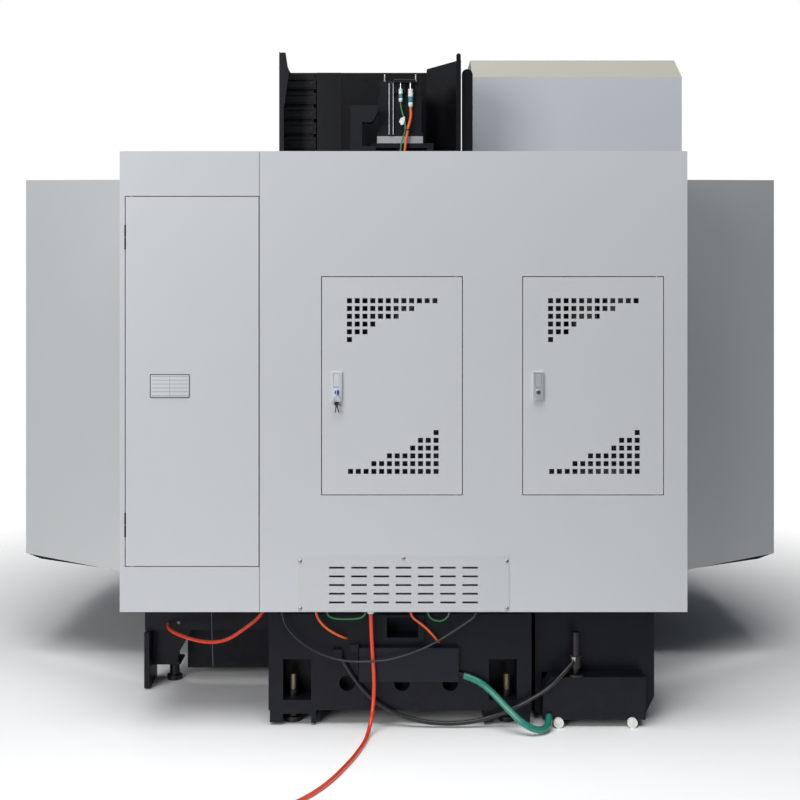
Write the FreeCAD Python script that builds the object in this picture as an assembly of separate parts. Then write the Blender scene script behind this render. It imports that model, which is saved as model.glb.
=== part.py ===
"""A vertical machining centre with its sheet-metal enclosure, seen best from the rear.

Millimetres. +X is the operator's right, +Y runs to the rear, +Z is up, and the floor is Z = 0.
The origin is at the middle of the bounding box's underside, without the hoses.
"""
import FreeCAD, Part
import math
import os

os.makedirs("parts", exist_ok=True)
V = FreeCAD.Vector

# Fits and sheet
TOUCH = 0.3             # gap where two bodies lie beside each other
RUNNING = 0.05          # radial clearance of a shaft in its bore
SHEET = 3.0             # enclosure and cabinet sheet
DOOR_GAP = 3.0          # gap round a flush door

# Enclosure
HALF_WIDTH = 1620.0
WALL_BOTTOM = 422.0
WALL_TOP = 2038.0
WING_DROP = 37.0        # how much lower a wing's top is at the cabinet
WING_INNER_X = 1005.0
WING_OUTER_Y = 168.0
FRONT_WALL = -1110.0
CORNER_X = 1420.0       # the front corners are cut off from here
CORNER_Y = -900.0
ROOF_INNER_X = 320.0

# Electrical cabinet
REAR = 1160.0
CABINET_DEPTH = 545.0
CABINET_LEFT = -1020.0
CABINET_RIGHT = 995.0
CABINET_BOTTOM = 419.0
CABINET_TOP = 2055.0
CABINET_SEAM = 499.0
DOOR_DEPTH = 20.0
TALL_DOOR = (502.0, 974.0, 582.0, 1893.0)
VENT_DOOR_LEFTS = (-220.0, -934.0)
VENT_DOOR_WIDTH = 497.0
VENT_DOOR_BOTTOM = 836.0
VENT_DOOR_TOP = 1608.0
HINGE_INSET = 20.0
HINGE_PIN_R = 5.0
HOLE_SIDE = 18.0
HOLE_PITCH = 27.6
HOLE_ROWS = (12, 9, 7, 4, 3, 1)
LOCK_WIDTH = 35.0
LOCK_HEIGHT = 102.0
LOCK_MIDDLE = 1220.0
LOCK_INSET = 53.0       # lock's centre line from the door's free edge
LOCK_OUT = 30.0         # how far the key stands out of the cabinet's rear face
VENT_PANEL = (-387.0, 362.0, 422.0, 618.0)
SLOT_LENGTH = 55.0
SLOT_HEIGHT = 7.0
SLOT_PITCH_X = 78.8
SLOT_PITCH_Z = 30.8
SLOT_COLUMNS = 7
SLOT_ROWS = 5

# Castings
BASE_HALF_X = 472.0
BASE_FRONT = -1000.0
BASE_REAR = 1110.0
BASE_UNDER = 54.0
BASE_REAR_TOP = 400.0
Y_BED = 600.0           # top of the base, where the Y rails lie
COLUMN_FACE = 250.0
COLUMN_REAR = 600.0
COLUMN_HALF_X = 270.0
COLUMN_FOOT_HALF_X = 360.0
COLUMN_TOP = 2090.0
SCREW_CHANNEL = 110.0   # half width of the channels that the ball screws lie in

# Linear guides
RAIL_WIDTH = 34.0
RAIL_HEIGHT = 30.0
CARRIAGE_WIDTH = 80.0
CARRIAGE_LENGTH = 110.0
CARRIAGE_LIFT = 8.0     # gap between a carriage and its rail's bed
GUIDE_HEIGHT = 48.0
SCREW_R = 18.0
JOURNAL_R = 14.0
MOTOR_SIDE = 120.0

# Axes
SPINDLE_Y = -330.0
TABLE_TOP = 940.0
TABLE_THICK = 100.0
TABLE_HALF_X = 600.0
TABLE_HALF_Y = 250.0
SADDLE_HALF_X = 750.0
SADDLE_HALF_Y = 290.0
Y_GUIDE_X = 300.0
X_GUIDE_Y = 170.0
Z_GUIDE_X = 170.0
X_TRAVEL = 500.0
Y_TRAVEL = 250.0
Z_TRAVEL = 600.0
NOSE_Z = 1700.0
HEAD_HALF_X = 190.0
HEAD_TOP = 2110.0
Z_SCREW_Y = 262.0
SPINDLE_R = 45.0

# Tool magazine
DISC_X = -780.0
DISC_Z = 1560.0
DISC_THICK = 30.0
POCKET_RADIUS = 290.0
DISC_R = 335.0
POCKETS = 16
TOOL_R = 23.0
MAGAZINE_TRAVEL = 490.0
COVER_LEFT = -1245.0
COVER_RIGHT = -319.0
COVER_FRONT = -700.0
COVER_REAR = 60.0
COVER_EDGE = 2503.0
COVER_TOP = 2605.0
COVER_CHAMFER = 160.0

# Front doors
OPENING_HALF_X = 545.0
OPENING_BOTTOM = 900.0
OPENING_TOP = 1950.0
DOOR_THICK = 30.0
DOOR_OVERLAP = 35.0
FRONT_DOOR_TRAVEL = 500.0

# Coolant tank
TANK_LEFT = -878.0
TANK_RIGHT = -511.0
TANK_REAR = 1130.0
TANK_FRONT = -100.0
TANK_UNDER = 22.0
TANK_TOP = 178.0
WHEEL_R = 18.0

# Values worked out from the ones above
FRONT = -(REAR + LOCK_OUT)
CABINET_FRONT = REAR - CABINET_DEPTH
SADDLE_UNDER = Y_BED + GUIDE_HEIGHT
TABLE_UNDER = TABLE_TOP - TABLE_THICK
X_BED = TABLE_UNDER - GUIDE_HEIGHT
HEAD_BACK = COLUMN_FACE - GUIDE_HEIGHT
Y_SCREW_Z = Y_BED - 12
X_SCREW_Z = TABLE_UNDER - MOTOR_SIDE / 2 - 8


def box(x0, x1, y0, y1, z0, z1):
    return Part.makeBox(x1 - x0, y1 - y0, z1 - z0, V(x0, y0, z0))


def rod(radius, start, end):
    start = V(*start)
    axis = V(*end) - start
    return Part.makeCylinder(radius, axis.Length, start, axis)


def tube_between(outer, inner, start, end):
    return rod(outer, start, end).cut(rod(inner, start, end))


def prism(corners, run):
    """A flat outline, pushed along run."""
    corners = [V(*corner) for corner in corners]
    return Part.Face(Part.makePolygon(corners + corners[:1])).extrude(V(*run))


def fused(*shapes):
    return shapes[0].multiFuse(list(shapes[1:])).removeSplitter()


def minus(shape, *tools):
    return shape.cut(list(tools)).removeSplitter()


def mirrored(shape):
    return shape.mirror(V(0, 0, 0), V(1, 0, 0))


def moved(shape, x=0.0, y=0.0, z=0.0):
    copy = shape.copy()
    copy.translate(V(x, y, z))
    return copy


def offset_line(points, distance):
    """A plan polyline moved to its left by distance, with mitred corners."""
    sides = []
    for (ax, ay), (bx, by) in zip(points, points[1:]):
        run = V(bx - ax, by - ay, 0).normalize()
        sides.append(V(-run.y, run.x, 0))
    line = []
    for i, (x, y) in enumerate(points):
        before = sides[max(i - 1, 0)]
        after = sides[min(i, len(sides) - 1)]
        middle = (before + after).normalize()
        line.append(V(x, y, 0) + middle * (distance / middle.dot(after)))
    return line


def wall(points, z0, z1, thick=SHEET):
    """A folded upright sheet that follows a plan polyline and lies on its left."""
    outer = [V(x, y, 0) for x, y in points]
    outline = outer + offset_line(points, thick)[::-1]
    return moved(prism(outline, (0, 0, z1 - z0)), z=z0)


def save(node, *solids):
    shape = solids[0] if len(solids) == 1 else Part.makeCompound(list(solids))
    shape.exportStep("parts/" + node + ".step")
    print("%-20s %3d solids %10.4f litres" % (node, len(shape.Solids), shape.Volume / 1e6))


# ---- Castings and what they stand on ----

FOOT_X = 388.0
FOOT_YS = (-900.0, 0.0, 1050.0)
FOOT_STUD_R = 12.0
SHELF_UNDER = 41.0
SHELF_TOP = 90.0
LEG_FOOT = (906.0, 560.0)
LEG_WEB_BOTTOM = 76.0
CHANNEL_FLOOR = 480.0
COLUMN_CHANNEL_BACK = 340.0


def base_casting():
    body = fused(
        box(-BASE_HALF_X, BASE_HALF_X, BASE_FRONT, COLUMN_REAR, BASE_UNDER, Y_BED),
        box(-BASE_HALF_X, BASE_HALF_X, COLUMN_REAR, BASE_REAR, BASE_UNDER, BASE_REAR_TOP),
        box(-330, 330, 640, 1080, BASE_REAR_TOP, CABINET_BOTTOM))
    motor_wall = box(-SCREW_CHANNEL, SCREW_CHANNEL, BASE_FRONT + 120, BASE_FRONT + 140, CHANNEL_FLOOR, Y_BED + 40)
    feet = []
    for side in (1, -1):
        for x0, x1, bottom in ((420, 467, 10), (301, 319, 8), (319, 441, SHELF_UNDER)):
            feet.append(box(min(side * x0, side * x1), max(side * x0, side * x1), 980, BASE_REAR,
                            bottom, SHELF_TOP))
    frame = box(-86, 61, BASE_REAR, BASE_REAR + 12, 306, 398)
    body = minus(body,
                 box(-340, 340, BASE_FRONT + 140, COLUMN_REAR - 80, BASE_UNDER, CHANNEL_FLOOR - 60),
                 box(-SCREW_CHANNEL, SCREW_CHANNEL, BASE_FRONT, COLUMN_FACE - 20, CHANNEL_FLOOR, Y_BED))
    body = fused(body, motor_wall, frame, *feet)
    holes = [rod(JOURNAL_R + 10, (0, BASE_FRONT, Y_SCREW_Z), (0, BASE_FRONT + 150, Y_SCREW_Z)),
             box(-65, 47, BASE_REAR - 80, BASE_REAR + 12, 317, 390)]
    for side in (1, -1):
        holes.append(box(min(side * 319, side * 420), max(side * 319, side * 420), 980, BASE_REAR,
                         SHELF_TOP, 237))
        for y in FOOT_YS:
            holes.append(rod(FOOT_STUD_R + TOUCH, (side * FOOT_X, y, 0), (side * FOOT_X, y, 175)))
    for x in (190, -7, -180):
        holes.append(rod(28, (x, BASE_REAR - 60, 151), (x, BASE_REAR, 151)))
    return minus(body, *holes)


def levelling_foot(x, y, seat, top):
    pad = rod(30, (x, y, 0), (x, y, 18))
    lower_nut = rod(20, (x, y, 18), (x, y, seat))
    stud = rod(FOOT_STUD_R, (x, y, 18), (x, y, top))
    return fused(pad, lower_nut, stud)


def levelling_feet():
    feet = []
    for side in (1, -1):
        for y in FOOT_YS:
            rear = y == FOOT_YS[-1]
            foot = levelling_foot(side * FOOT_X, y, SHELF_UNDER if rear else BASE_UNDER, 169)
            if rear:
                foot = foot.fuse(rod(20, (side * FOOT_X, y, SHELF_TOP), (side * FOOT_X, y, SHELF_TOP + 22)))
            feet.append(foot)
    feet.append(levelling_foot(*LEG_FOOT, LEG_WEB_BOTTOM, LEG_WEB_BOTTOM + 10))
    return feet


def column():
    side = [(COLUMN_FOOT_HALF_X, Y_BED), (COLUMN_FOOT_HALF_X, 760), (COLUMN_HALF_X, 1100),
            (COLUMN_HALF_X, COLUMN_TOP)]
    outline = [(x, COLUMN_FACE, z) for x, z in side] + [(-x, COLUMN_FACE, z) for x, z in side[::-1]]
    body = prism(outline, (0, COLUMN_REAR - COLUMN_FACE, 0))
    return minus(body,
                 box(-190, 190, COLUMN_CHANNEL_BACK + 30, COLUMN_REAR, 700, 1900),
                 box(-SCREW_CHANNEL, SCREW_CHANNEL, COLUMN_FACE, COLUMN_CHANNEL_BACK, 900, COLUMN_TOP))


# ---- Linear guides, ball screws and motors ----


def rail(length):
    """A rail on a bed at Z = 0, centred, running along Y."""
    half = RAIL_WIDTH / 2
    body = box(-half, half, -length / 2, length / 2, 0, RAIL_HEIGHT)
    for side in (1, -1):
        body = body.cut(rod(5, (side * (half + 2), -length / 2, 19), (side * (half + 2), length / 2, 19)))
    return body


def carriage():
    """A carriage over a rail that runs along Y on a bed at Z = 0."""
    half = CARRIAGE_WIDTH / 2
    slot = RAIL_WIDTH / 2 + TOUCH
    block = box(-half, half, -CARRIAGE_LENGTH / 2, CARRIAGE_LENGTH / 2, CARRIAGE_LIFT, GUIDE_HEIGHT)
    return block.cut(box(-slot, slot, -CARRIAGE_LENGTH / 2, CARRIAGE_LENGTH / 2, CARRIAGE_LIFT,
                         RAIL_HEIGHT + TOUCH))


def on_column(shape):
    """Turns a guide part from a bed at Z = 0 to the column's face."""
    turned = shape.copy()
    turned.rotate(V(0, 0, 0), V(1, 0, 0), 90)
    return turned


def along_x(shape):
    turned = shape.copy()
    turned.rotate(V(0, 0, 0), V(0, 0, 1), 90)
    return turned


Y_RAIL = (-920.0, 230.0)
Z_RAIL = (1060.0, 2080.0)
X_RAIL_HALF = SADDLE_HALF_X - 5
Z_CARRIAGES = (1790.0, 2030.0)
Y_CARRIAGE_OFFSET = SADDLE_HALF_Y - CARRIAGE_LENGTH / 2 - 5
X_CARRIAGE_OFFSET = X_RAIL_HALF - X_TRAVEL - CARRIAGE_LENGTH / 2


def fixed_rails():
    rails = []
    for side in (1, -1):
        y_rail = rail(Y_RAIL[1] - Y_RAIL[0])
        rails.append(moved(y_rail, side * Y_GUIDE_X, sum(Y_RAIL) / 2, Y_BED))
        z_rail = on_column(rail(Z_RAIL[1] - Z_RAIL[0]))
        rails.append(moved(z_rail, side * Z_GUIDE_X, COLUMN_FACE, sum(Z_RAIL) / 2))
    return rails


def x_rails():
    x_rail = along_x(rail(2 * X_RAIL_HALF))
    return [moved(x_rail, 0, SPINDLE_Y + side * X_GUIDE_Y, X_BED) for side in (1, -1)]


def y_carriages():
    return [moved(carriage(), side * Y_GUIDE_X, SPINDLE_Y + end * Y_CARRIAGE_OFFSET, Y_BED)
            for side in (1, -1) for end in (1, -1)]


def x_carriages():
    block = along_x(carriage())
    return [moved(block, end * X_CARRIAGE_OFFSET, SPINDLE_Y + side * X_GUIDE_Y, X_BED)
            for side in (1, -1) for end in (1, -1)]


def z_carriages():
    block = on_column(carriage())
    return [moved(block, side * Z_GUIDE_X, COLUMN_FACE, z) for side in (1, -1) for z in Z_CARRIAGES]


def ball_screw(start, end, journal):
    """A screw between two points with a thinner journal at each end."""
    start = V(*start)
    end = V(*end)
    along = (end - start).normalize() * journal
    return fused(rod(SCREW_R, start + along, end - along), rod(JOURNAL_R, start, end))


def motor(side, length, flange):
    """A servo motor on a mounting face at Z = 0: flange, body, rear cap and connector block."""
    half = side / 2
    body = box(-half + 6, half - 6, -half + 6, half - 6, flange, length * 0.72)
    cap = box(-half + 12, half - 12, -half + 12, half - 12, length * 0.72, length)
    plate = box(-half, half, -half, half, 0, flange)
    block = box(-22, 22, half - 12, half + 14, length * 0.78, length * 0.94)
    body = fused(body, cap, plate, block)
    return body


Y_SCREW = (BASE_FRONT + 125, 210.0)
Y_BEARINGS = ((-850.0, -820.0), (170.0, 200.0))
X_SCREW_HALF = SADDLE_HALF_X + 12
X_BEARING = (700.0, 740.0)
Z_SCREW = (1015.0, 2160.0)
Z_BEARINGS = ((1020.0, 1055.0), (2040.0, 2080.0))
SCREW_JOURNAL = 70.0


def screw_bearings():
    blocks = []
    for y0, y1 in Y_BEARINGS:
        block = box(-60, 60, y0, y1, CHANNEL_FLOOR, Y_BED + 40)
        bore = rod(JOURNAL_R + RUNNING, (0, y0, Y_SCREW_Z), (0, y1, Y_SCREW_Z))
        blocks.append(block.cut(bore))
    for z0, z1 in Z_BEARINGS:
        block = box(-60, 60, COLUMN_FACE - 35, COLUMN_CHANNEL_BACK, z0, z1)
        bore = rod(JOURNAL_R + RUNNING, (0, Z_SCREW_Y, z0), (0, Z_SCREW_Y, z1))
        blocks.append(block.cut(bore))
    return blocks


MOUNT_TOP = 2175.0
MOUNT_PLATE = 20.0
MOUNT_HALF_X = 140.0
Z_MOTOR_SIDE = 192.0
Z_MOTOR_LENGTH = 231.0
ADAPTOR = 30.0


def z_motor_mount():
    """Two webs and a plate over the column's channel, the motor's adaptor plate and a cast bracket."""
    plate = box(-MOUNT_HALF_X, MOUNT_HALF_X, 160, 365, MOUNT_TOP - MOUNT_PLATE, MOUNT_TOP)
    webs = [box(min(side * 112, side * MOUNT_HALF_X), max(side * 112, side * MOUNT_HALF_X), 255, 365,
                COLUMN_TOP, MOUNT_TOP) for side in (1, -1)]
    adaptor = box(-96, 96, Z_SCREW_Y - 96, Z_SCREW_Y + 96, MOUNT_TOP, MOUNT_TOP + ADAPTOR)
    foot = box(100, 204, 370, 480, COLUMN_TOP, 2150)
    post = prism([(204, 400, 2150), (204, 400, 2320), (86, 400, 2320), (90, 400, 2298), (106, 400, 2262),
                  (116, 400, 2251), (155, 400, 2251), (155, 400, 2150)], (0, 60, 0))
    bolt_hole = rod(34, (0, Z_SCREW_Y, COLUMN_TOP), (0, Z_SCREW_Y, MOUNT_TOP + ADAPTOR))
    return [minus(fused(plate, adaptor, *webs), bolt_hole), fused(foot, post)]


def z_motor():
    body = motor(Z_MOTOR_SIDE, Z_MOTOR_LENGTH, 14)
    return moved(body, 0, Z_SCREW_Y, MOUNT_TOP + ADAPTOR)


def y_motor():
    body = motor(MOTOR_SIDE, 190, 10)
    body.rotate(V(0, 0, 0), V(1, 0, 0), 90)
    return moved(body, 0, BASE_FRONT + 120, Y_SCREW_Z)


def x_motor():
    body = motor(MOTOR_SIDE, 200, 10)
    body.rotate(V(0, 0, 0), V(0, 0, 1), 180)
    body.rotate(V(0, 0, 0), V(0, 1, 0), 90)
    return moved(body, SADDLE_HALF_X + 20, SPINDLE_Y, X_SCREW_Z)


# ---- Saddle, table and head ----

X_CHANNEL_HALF = 80.0
X_CHANNEL_FLOOR = 700.0
NUT_HALF = 50.0
NUT_DROP = 45.0
T_SLOTS = 5
T_SLOT_PITCH = 90.0
T_SLOT_WIDTH = 18.0


def saddle():
    rear = SPINDLE_Y + SADDLE_HALF_Y
    front = SPINDLE_Y - SADDLE_HALF_Y
    side = [(SADDLE_HALF_X, X_BED), (SADDLE_HALF_X, X_BED - 110), (380, SADDLE_UNDER)]
    outline = [(x, front, z) for x, z in side] + [(-x, front, z) for x, z in side[::-1]]
    body = prism(outline, (0, rear - front, 0))
    nut = box(-NUT_HALF, NUT_HALF, SPINDLE_Y - NUT_HALF, SPINDLE_Y + NUT_HALF, Y_SCREW_Z - NUT_DROP, SADDLE_UNDER)
    end = box(SADDLE_HALF_X, SADDLE_HALF_X + 20, SPINDLE_Y - 100, SPINDLE_Y + 100, X_BED - 100, TABLE_UNDER - 6)
    body = minus(fused(body, nut, end),
                 box(-SADDLE_HALF_X, SADDLE_HALF_X, SPINDLE_Y - X_CHANNEL_HALF, SPINDLE_Y + X_CHANNEL_HALF,
                     X_CHANNEL_FLOOR, X_BED))
    blocks = [box(min(side * X_BEARING[0], side * X_BEARING[1]), max(side * X_BEARING[0], side * X_BEARING[1]),
                  SPINDLE_Y - X_CHANNEL_HALF, SPINDLE_Y + X_CHANNEL_HALF, X_CHANNEL_FLOOR, X_SCREW_Z + 40)
              for side in (1, -1)]
    return minus(fused(body, *blocks),
                 rod(SCREW_R + RUNNING, (0, front, Y_SCREW_Z), (0, rear, Y_SCREW_Z)),
                 rod(JOURNAL_R + RUNNING, (-SADDLE_HALF_X, SPINDLE_Y, X_SCREW_Z),
                     (SADDLE_HALF_X + 20, SPINDLE_Y, X_SCREW_Z)))


def table():
    y0 = SPINDLE_Y - TABLE_HALF_Y
    y1 = SPINDLE_Y + TABLE_HALF_Y
    body = box(-TABLE_HALF_X, TABLE_HALF_X, y0, y1, TABLE_UNDER, TABLE_TOP)
    nut = box(-NUT_HALF, NUT_HALF, SPINDLE_Y - NUT_HALF, SPINDLE_Y + NUT_HALF, X_SCREW_Z - NUT_DROP, TABLE_UNDER)
    cuts = [rod(SCREW_R + RUNNING, (-NUT_HALF, SPINDLE_Y, X_SCREW_Z), (NUT_HALF, SPINDLE_Y, X_SCREW_Z))]
    for i in range(T_SLOTS):
        y = SPINDLE_Y + (i - (T_SLOTS - 1) / 2) * T_SLOT_PITCH
        half = T_SLOT_WIDTH / 2
        cuts.append(box(-TABLE_HALF_X, TABLE_HALF_X, y - half, y + half, TABLE_TOP - 22, TABLE_TOP))
        cuts.append(box(-TABLE_HALF_X, TABLE_HALF_X, y - half - 7, y + half + 7, TABLE_TOP - 36, TABLE_TOP - 22))
    return minus(fused(body, nut), *cuts)


def spindle_head():
    side = [(HEAD_BACK, 1720), (HEAD_BACK, HEAD_TOP), (-180, HEAD_TOP), (-480, 2000), (-480, 1790), (-440, 1750),
            (-120, 1740), (-60, 1720)]
    body = prism([(-HEAD_HALF_X, y, z) for y, z in side], (2 * HEAD_HALF_X, 0, 0))
    shelf = box(-110, 110, SPINDLE_Y - 110, SPINDLE_Y + 110, 1990, HEAD_TOP)
    nose = rod(95, (0, SPINDLE_Y, NOSE_Z + 15), (0, SPINDLE_Y, 1800))
    nut = box(-60, 60, HEAD_BACK, Z_SCREW_Y + 45, 1860, 1960)
    return minus(fused(body, shelf, nose, nut),
                 rod(SPINDLE_R + RUNNING, (0, SPINDLE_Y, NOSE_Z), (0, SPINDLE_Y, HEAD_TOP)),
                 rod(SCREW_R + RUNNING, (0, Z_SCREW_Y, 1860), (0, Z_SCREW_Y, 1960)))


def spindle():
    body = fused(rod(SPINDLE_R, (0, SPINDLE_Y, NOSE_Z), (0, SPINDLE_Y, HEAD_TOP + 15)))
    taper = Part.makeCone(22.2, 13.0, 65, V(0, SPINDLE_Y, NOSE_Z), V(0, 0, 1))
    drawbar = rod(12, (0, SPINDLE_Y, NOSE_Z + 60), (0, SPINDLE_Y, NOSE_Z + 140))
    slots = [box(min(side * 25, side * 50), max(side * 25, side * 50), SPINDLE_Y - 8, SPINDLE_Y + 8,
                 NOSE_Z, NOSE_Z + 8) for side in (1, -1)]
    return minus(body, taper, drawbar, *slots)


def spindle_motor():
    ring = tube_between(95, SPINDLE_R + 12, (0, SPINDLE_Y, HEAD_TOP), (0, SPINDLE_Y, HEAD_TOP + 40))
    body = moved(motor(190, 290, 14), 0, SPINDLE_Y, HEAD_TOP + 40)
    return fused(ring, body)


# ---- Tool magazine ----

BEAM_X = (-1110.0, -215.0)
BEAM_Z = 1950.0
BEAM_HALF = 50.0
CARRIER_HALF_X = 85.0
HUB_R = 30.0
HOLDER_TOP = 1670.0
TOOL_TIP = 1425.0


def magazine_bracket():
    beam = fused(box(BEAM_X[0], BEAM_X[1], SPINDLE_Y - BEAM_HALF, SPINDLE_Y + BEAM_HALF, BEAM_Z, BEAM_Z + 20),
                 box(BEAM_X[0], BEAM_X[1], SPINDLE_Y - 20, SPINDLE_Y + 20, BEAM_Z + 20, BEAM_Z + 70))
    arm = box(-310, -COLUMN_HALF_X, SPINDLE_Y - 60, COLUMN_REAR - 20, BEAM_Z + 50, BEAM_Z + 110)
    cheek = box(-310, -COLUMN_HALF_X, COLUMN_FACE + 20, COLUMN_REAR - 20, 1800, BEAM_Z + 50)
    return fused(beam, arm, cheek)


def magazine_carriage():
    block = box(DISC_X - CARRIER_HALF_X, DISC_X + CARRIER_HALF_X, SPINDLE_Y - 80, SPINDLE_Y + 80, BEAM_Z - 60,
                BEAM_Z + 40)
    gap = TOUCH
    block = minus(block,
                  box(BEAM_X[0], 0, SPINDLE_Y - BEAM_HALF - gap, SPINDLE_Y + BEAM_HALF + gap,
                      BEAM_Z - gap, BEAM_Z + 20 + gap),
                  box(BEAM_X[0], 0, SPINDLE_Y - 20 - gap, SPINDLE_Y + 20 + gap, BEAM_Z, BEAM_Z + 40))
    top = DISC_Z + DISC_THICK + TOUCH
    housing = rod(75, (DISC_X, SPINDLE_Y, top), (DISC_X, SPINDLE_Y, BEAM_Z - 60))
    shaft = rod(HUB_R, (DISC_X, SPINDLE_Y, DISC_Z - 20), (DISC_X, SPINDLE_Y, top))
    collar = rod(HUB_R + 20, (DISC_X, SPINDLE_Y, DISC_Z - 20), (DISC_X, SPINDLE_Y, DISC_Z - TOUCH))
    drive = rod(48, (DISC_X, SPINDLE_Y + 120, 1700), (DISC_X, SPINDLE_Y + 120, 1960))
    drive_plate = box(DISC_X - 60, DISC_X + 60, SPINDLE_Y, SPINDLE_Y + 175, 1720, 1745)
    return fused(block, housing, shaft, collar, drive, drive_plate)


def pocket_place(index):
    angle = 2 * math.pi * index / POCKETS
    return DISC_X + POCKET_RADIUS * math.cos(angle), SPINDLE_Y + POCKET_RADIUS * math.sin(angle)


def tool_disc():
    body = rod(DISC_R, (DISC_X, SPINDLE_Y, DISC_Z), (DISC_X, SPINDLE_Y, DISC_Z + DISC_THICK))
    hub = rod(HUB_R + RUNNING, (DISC_X, SPINDLE_Y, DISC_Z), (DISC_X, SPINDLE_Y, DISC_Z + DISC_THICK))
    cuts = [hub]
    mouth = box(0, DISC_R, -TOOL_R, TOOL_R, DISC_Z, DISC_Z + DISC_THICK)
    for i in range(POCKETS):
        x, y = pocket_place(i)
        cuts.append(rod(TOOL_R, (x, y, DISC_Z), (x, y, DISC_Z + DISC_THICK)))
        turned = mouth.copy()
        turned.rotate(V(0, 0, 0), V(0, 0, 1), 360 * i / POCKETS)
        cuts.append(moved(turned, x, y))
    for i in range(8):
        angle = 2 * math.pi * (i + 0.5) / 8
        x = DISC_X + 150 * math.cos(angle)
        y = SPINDLE_Y + 150 * math.sin(angle)
        cuts.append(rod(35, (x, y, DISC_Z), (x, y, DISC_Z + DISC_THICK)))
    return minus(body, *cuts)


def tool_holders():
    """One holder in each pocket but the one that faces the spindle."""
    holders = []
    top = DISC_Z + DISC_THICK
    for i in range(1, POCKETS):
        x, y = pocket_place(i)
        tool = 5 + 3 * (i % 4)
        tip = TOOL_TIP + 18 * (i % 3)
        holders.append(fused(
            rod(TOOL_R - TOUCH, (x, y, DISC_Z - 5), (x, y, top)),
            rod(31, (x, y, top), (x, y, top + 18)),
            Part.makeCone(22.0, 13.0, HOLDER_TOP - top - 33, V(x, y, top + 18), V(0, 0, 1)),
            rod(8, (x, y, top + 18), (x, y, HOLDER_TOP)),
            rod(31, (x, y, DISC_Z - 18), (x, y, DISC_Z)),
            rod(20, (x, y, DISC_Z - 70), (x, y, DISC_Z - 18)),
            rod(tool, (x, y, tip), (x, y, DISC_Z - 70))))
    return holders


def magazine_cover():
    """A folded box over the magazine, chamfered along its rear upper edge and open below."""

    def hull(inset):
        rear = COVER_REAR - inset
        top = COVER_TOP - inset
        side = [(COVER_FRONT + inset, WALL_TOP), (COVER_FRONT + inset, top),
                (rear - COVER_CHAMFER, top), (rear, COVER_EDGE - inset), (rear, WALL_TOP)]
        left = COVER_LEFT + inset
        return prism([(left, y, z) for y, z in side], (COVER_RIGHT - COVER_LEFT - 2 * inset, 0, 0))

    return hull(0).cut(hull(SHEET))


# ---- Top guard and cable chain ----

GUARD_X = 489.0
GUARD_BOTTOM = 2125.0
GUARD_TOP = 2525.0
GUARD_REAR = 530.0
GUARD_FRONT = 35.0
GUARD_SLANT = (-247.0, -120.0)
GUARD_SHEET = 4.0
SLANT_TOP_FRONT, SLANT_TOP_REAR = 2541.0, 2493.0
FOLD_RIGHT = [(489, 2125), (489, 2517), (483, 2523), (463, 2523), (450, 2437), (470, 2300), (470, 2125)]
FOLD_LEFT = [(-246, 2125), (-228, 2125), (-228, 2514), (-234, 2520), (-240, 2520), (-246, 2514)]
LEDGE_Y = (490.0, 525.0)
CHAIN_WIDTH = 128.0
CHAIN_Y = (200.0, 300.0)
CHAIN_TOP = 2474.0
CHAIN_PITCH = 63.0
CHAIN_LINKS = 9


def top_guard():
    line = [(GUARD_SLANT[0], GUARD_REAR), (GUARD_SLANT[1], GUARD_FRONT), (GUARD_X, GUARD_FRONT),
            (GUARD_X, GUARD_REAR)]
    sheet = wall(line, GUARD_BOTTOM, SLANT_TOP_FRONT + 10, GUARD_SHEET)
    above = box(GUARD_SLANT[1] + 2, GUARD_X + 1, 0, GUARD_REAR + 10, GUARD_TOP, SLANT_TOP_FRONT + 20)
    slope = prism([(GUARD_SLANT[0] - 20, GUARD_FRONT - 1, SLANT_TOP_FRONT),
                   (GUARD_SLANT[0] - 20, GUARD_REAR + 1, SLANT_TOP_REAR),
                   (GUARD_SLANT[0] - 20, GUARD_REAR + 1, SLANT_TOP_FRONT + 20),
                   (GUARD_SLANT[0] - 20, GUARD_FRONT - 1, SLANT_TOP_FRONT + 20)],
                  (GUARD_SLANT[1] + 2 - GUARD_SLANT[0] + 20, 0, 0))
    ledge = box(-298, GUARD_X, *LEDGE_Y, COLUMN_TOP, GUARD_BOTTOM)
    folds = [prism([(x, GUARD_REAR - GUARD_SHEET, z) for x, z in line], (0, GUARD_SHEET, 0))
             for line in (FOLD_RIGHT, FOLD_LEFT)]
    return fused(minus(sheet, above, slope), ledge, *folds)


def guard_plates():
    """The flat plate and the round-topped strip that stand on the guard's ledge."""
    plate = box(240, 338, LEDGE_Y[0], LEDGE_Y[0] + 8, GUARD_BOTTOM, 2447)
    strip = box(-296, -252, LEDGE_Y[0], LEDGE_Y[0] + 6, GUARD_BOTTOM, 2440)
    cap = rod(22, (-274, LEDGE_Y[0], 2440), (-274, LEDGE_Y[0] + 6, 2440))
    return [plate, fused(strip, cap)]


def cable_chain():
    right = GUARD_X - GUARD_SHEET
    left = right - CHAIN_WIDTH
    bottom = CHAIN_TOP - CHAIN_PITCH * CHAIN_LINKS
    core = box(left + 8, right - 4, CHAIN_Y[0] + 8, CHAIN_Y[1] - 8, bottom, CHAIN_TOP)
    links = [box(left, right, *CHAIN_Y, bottom + i * CHAIN_PITCH, bottom + i * CHAIN_PITCH + 48)
             for i in range(CHAIN_LINKS)]
    return fused(core, *links)


# ---- Enclosure ----

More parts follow.
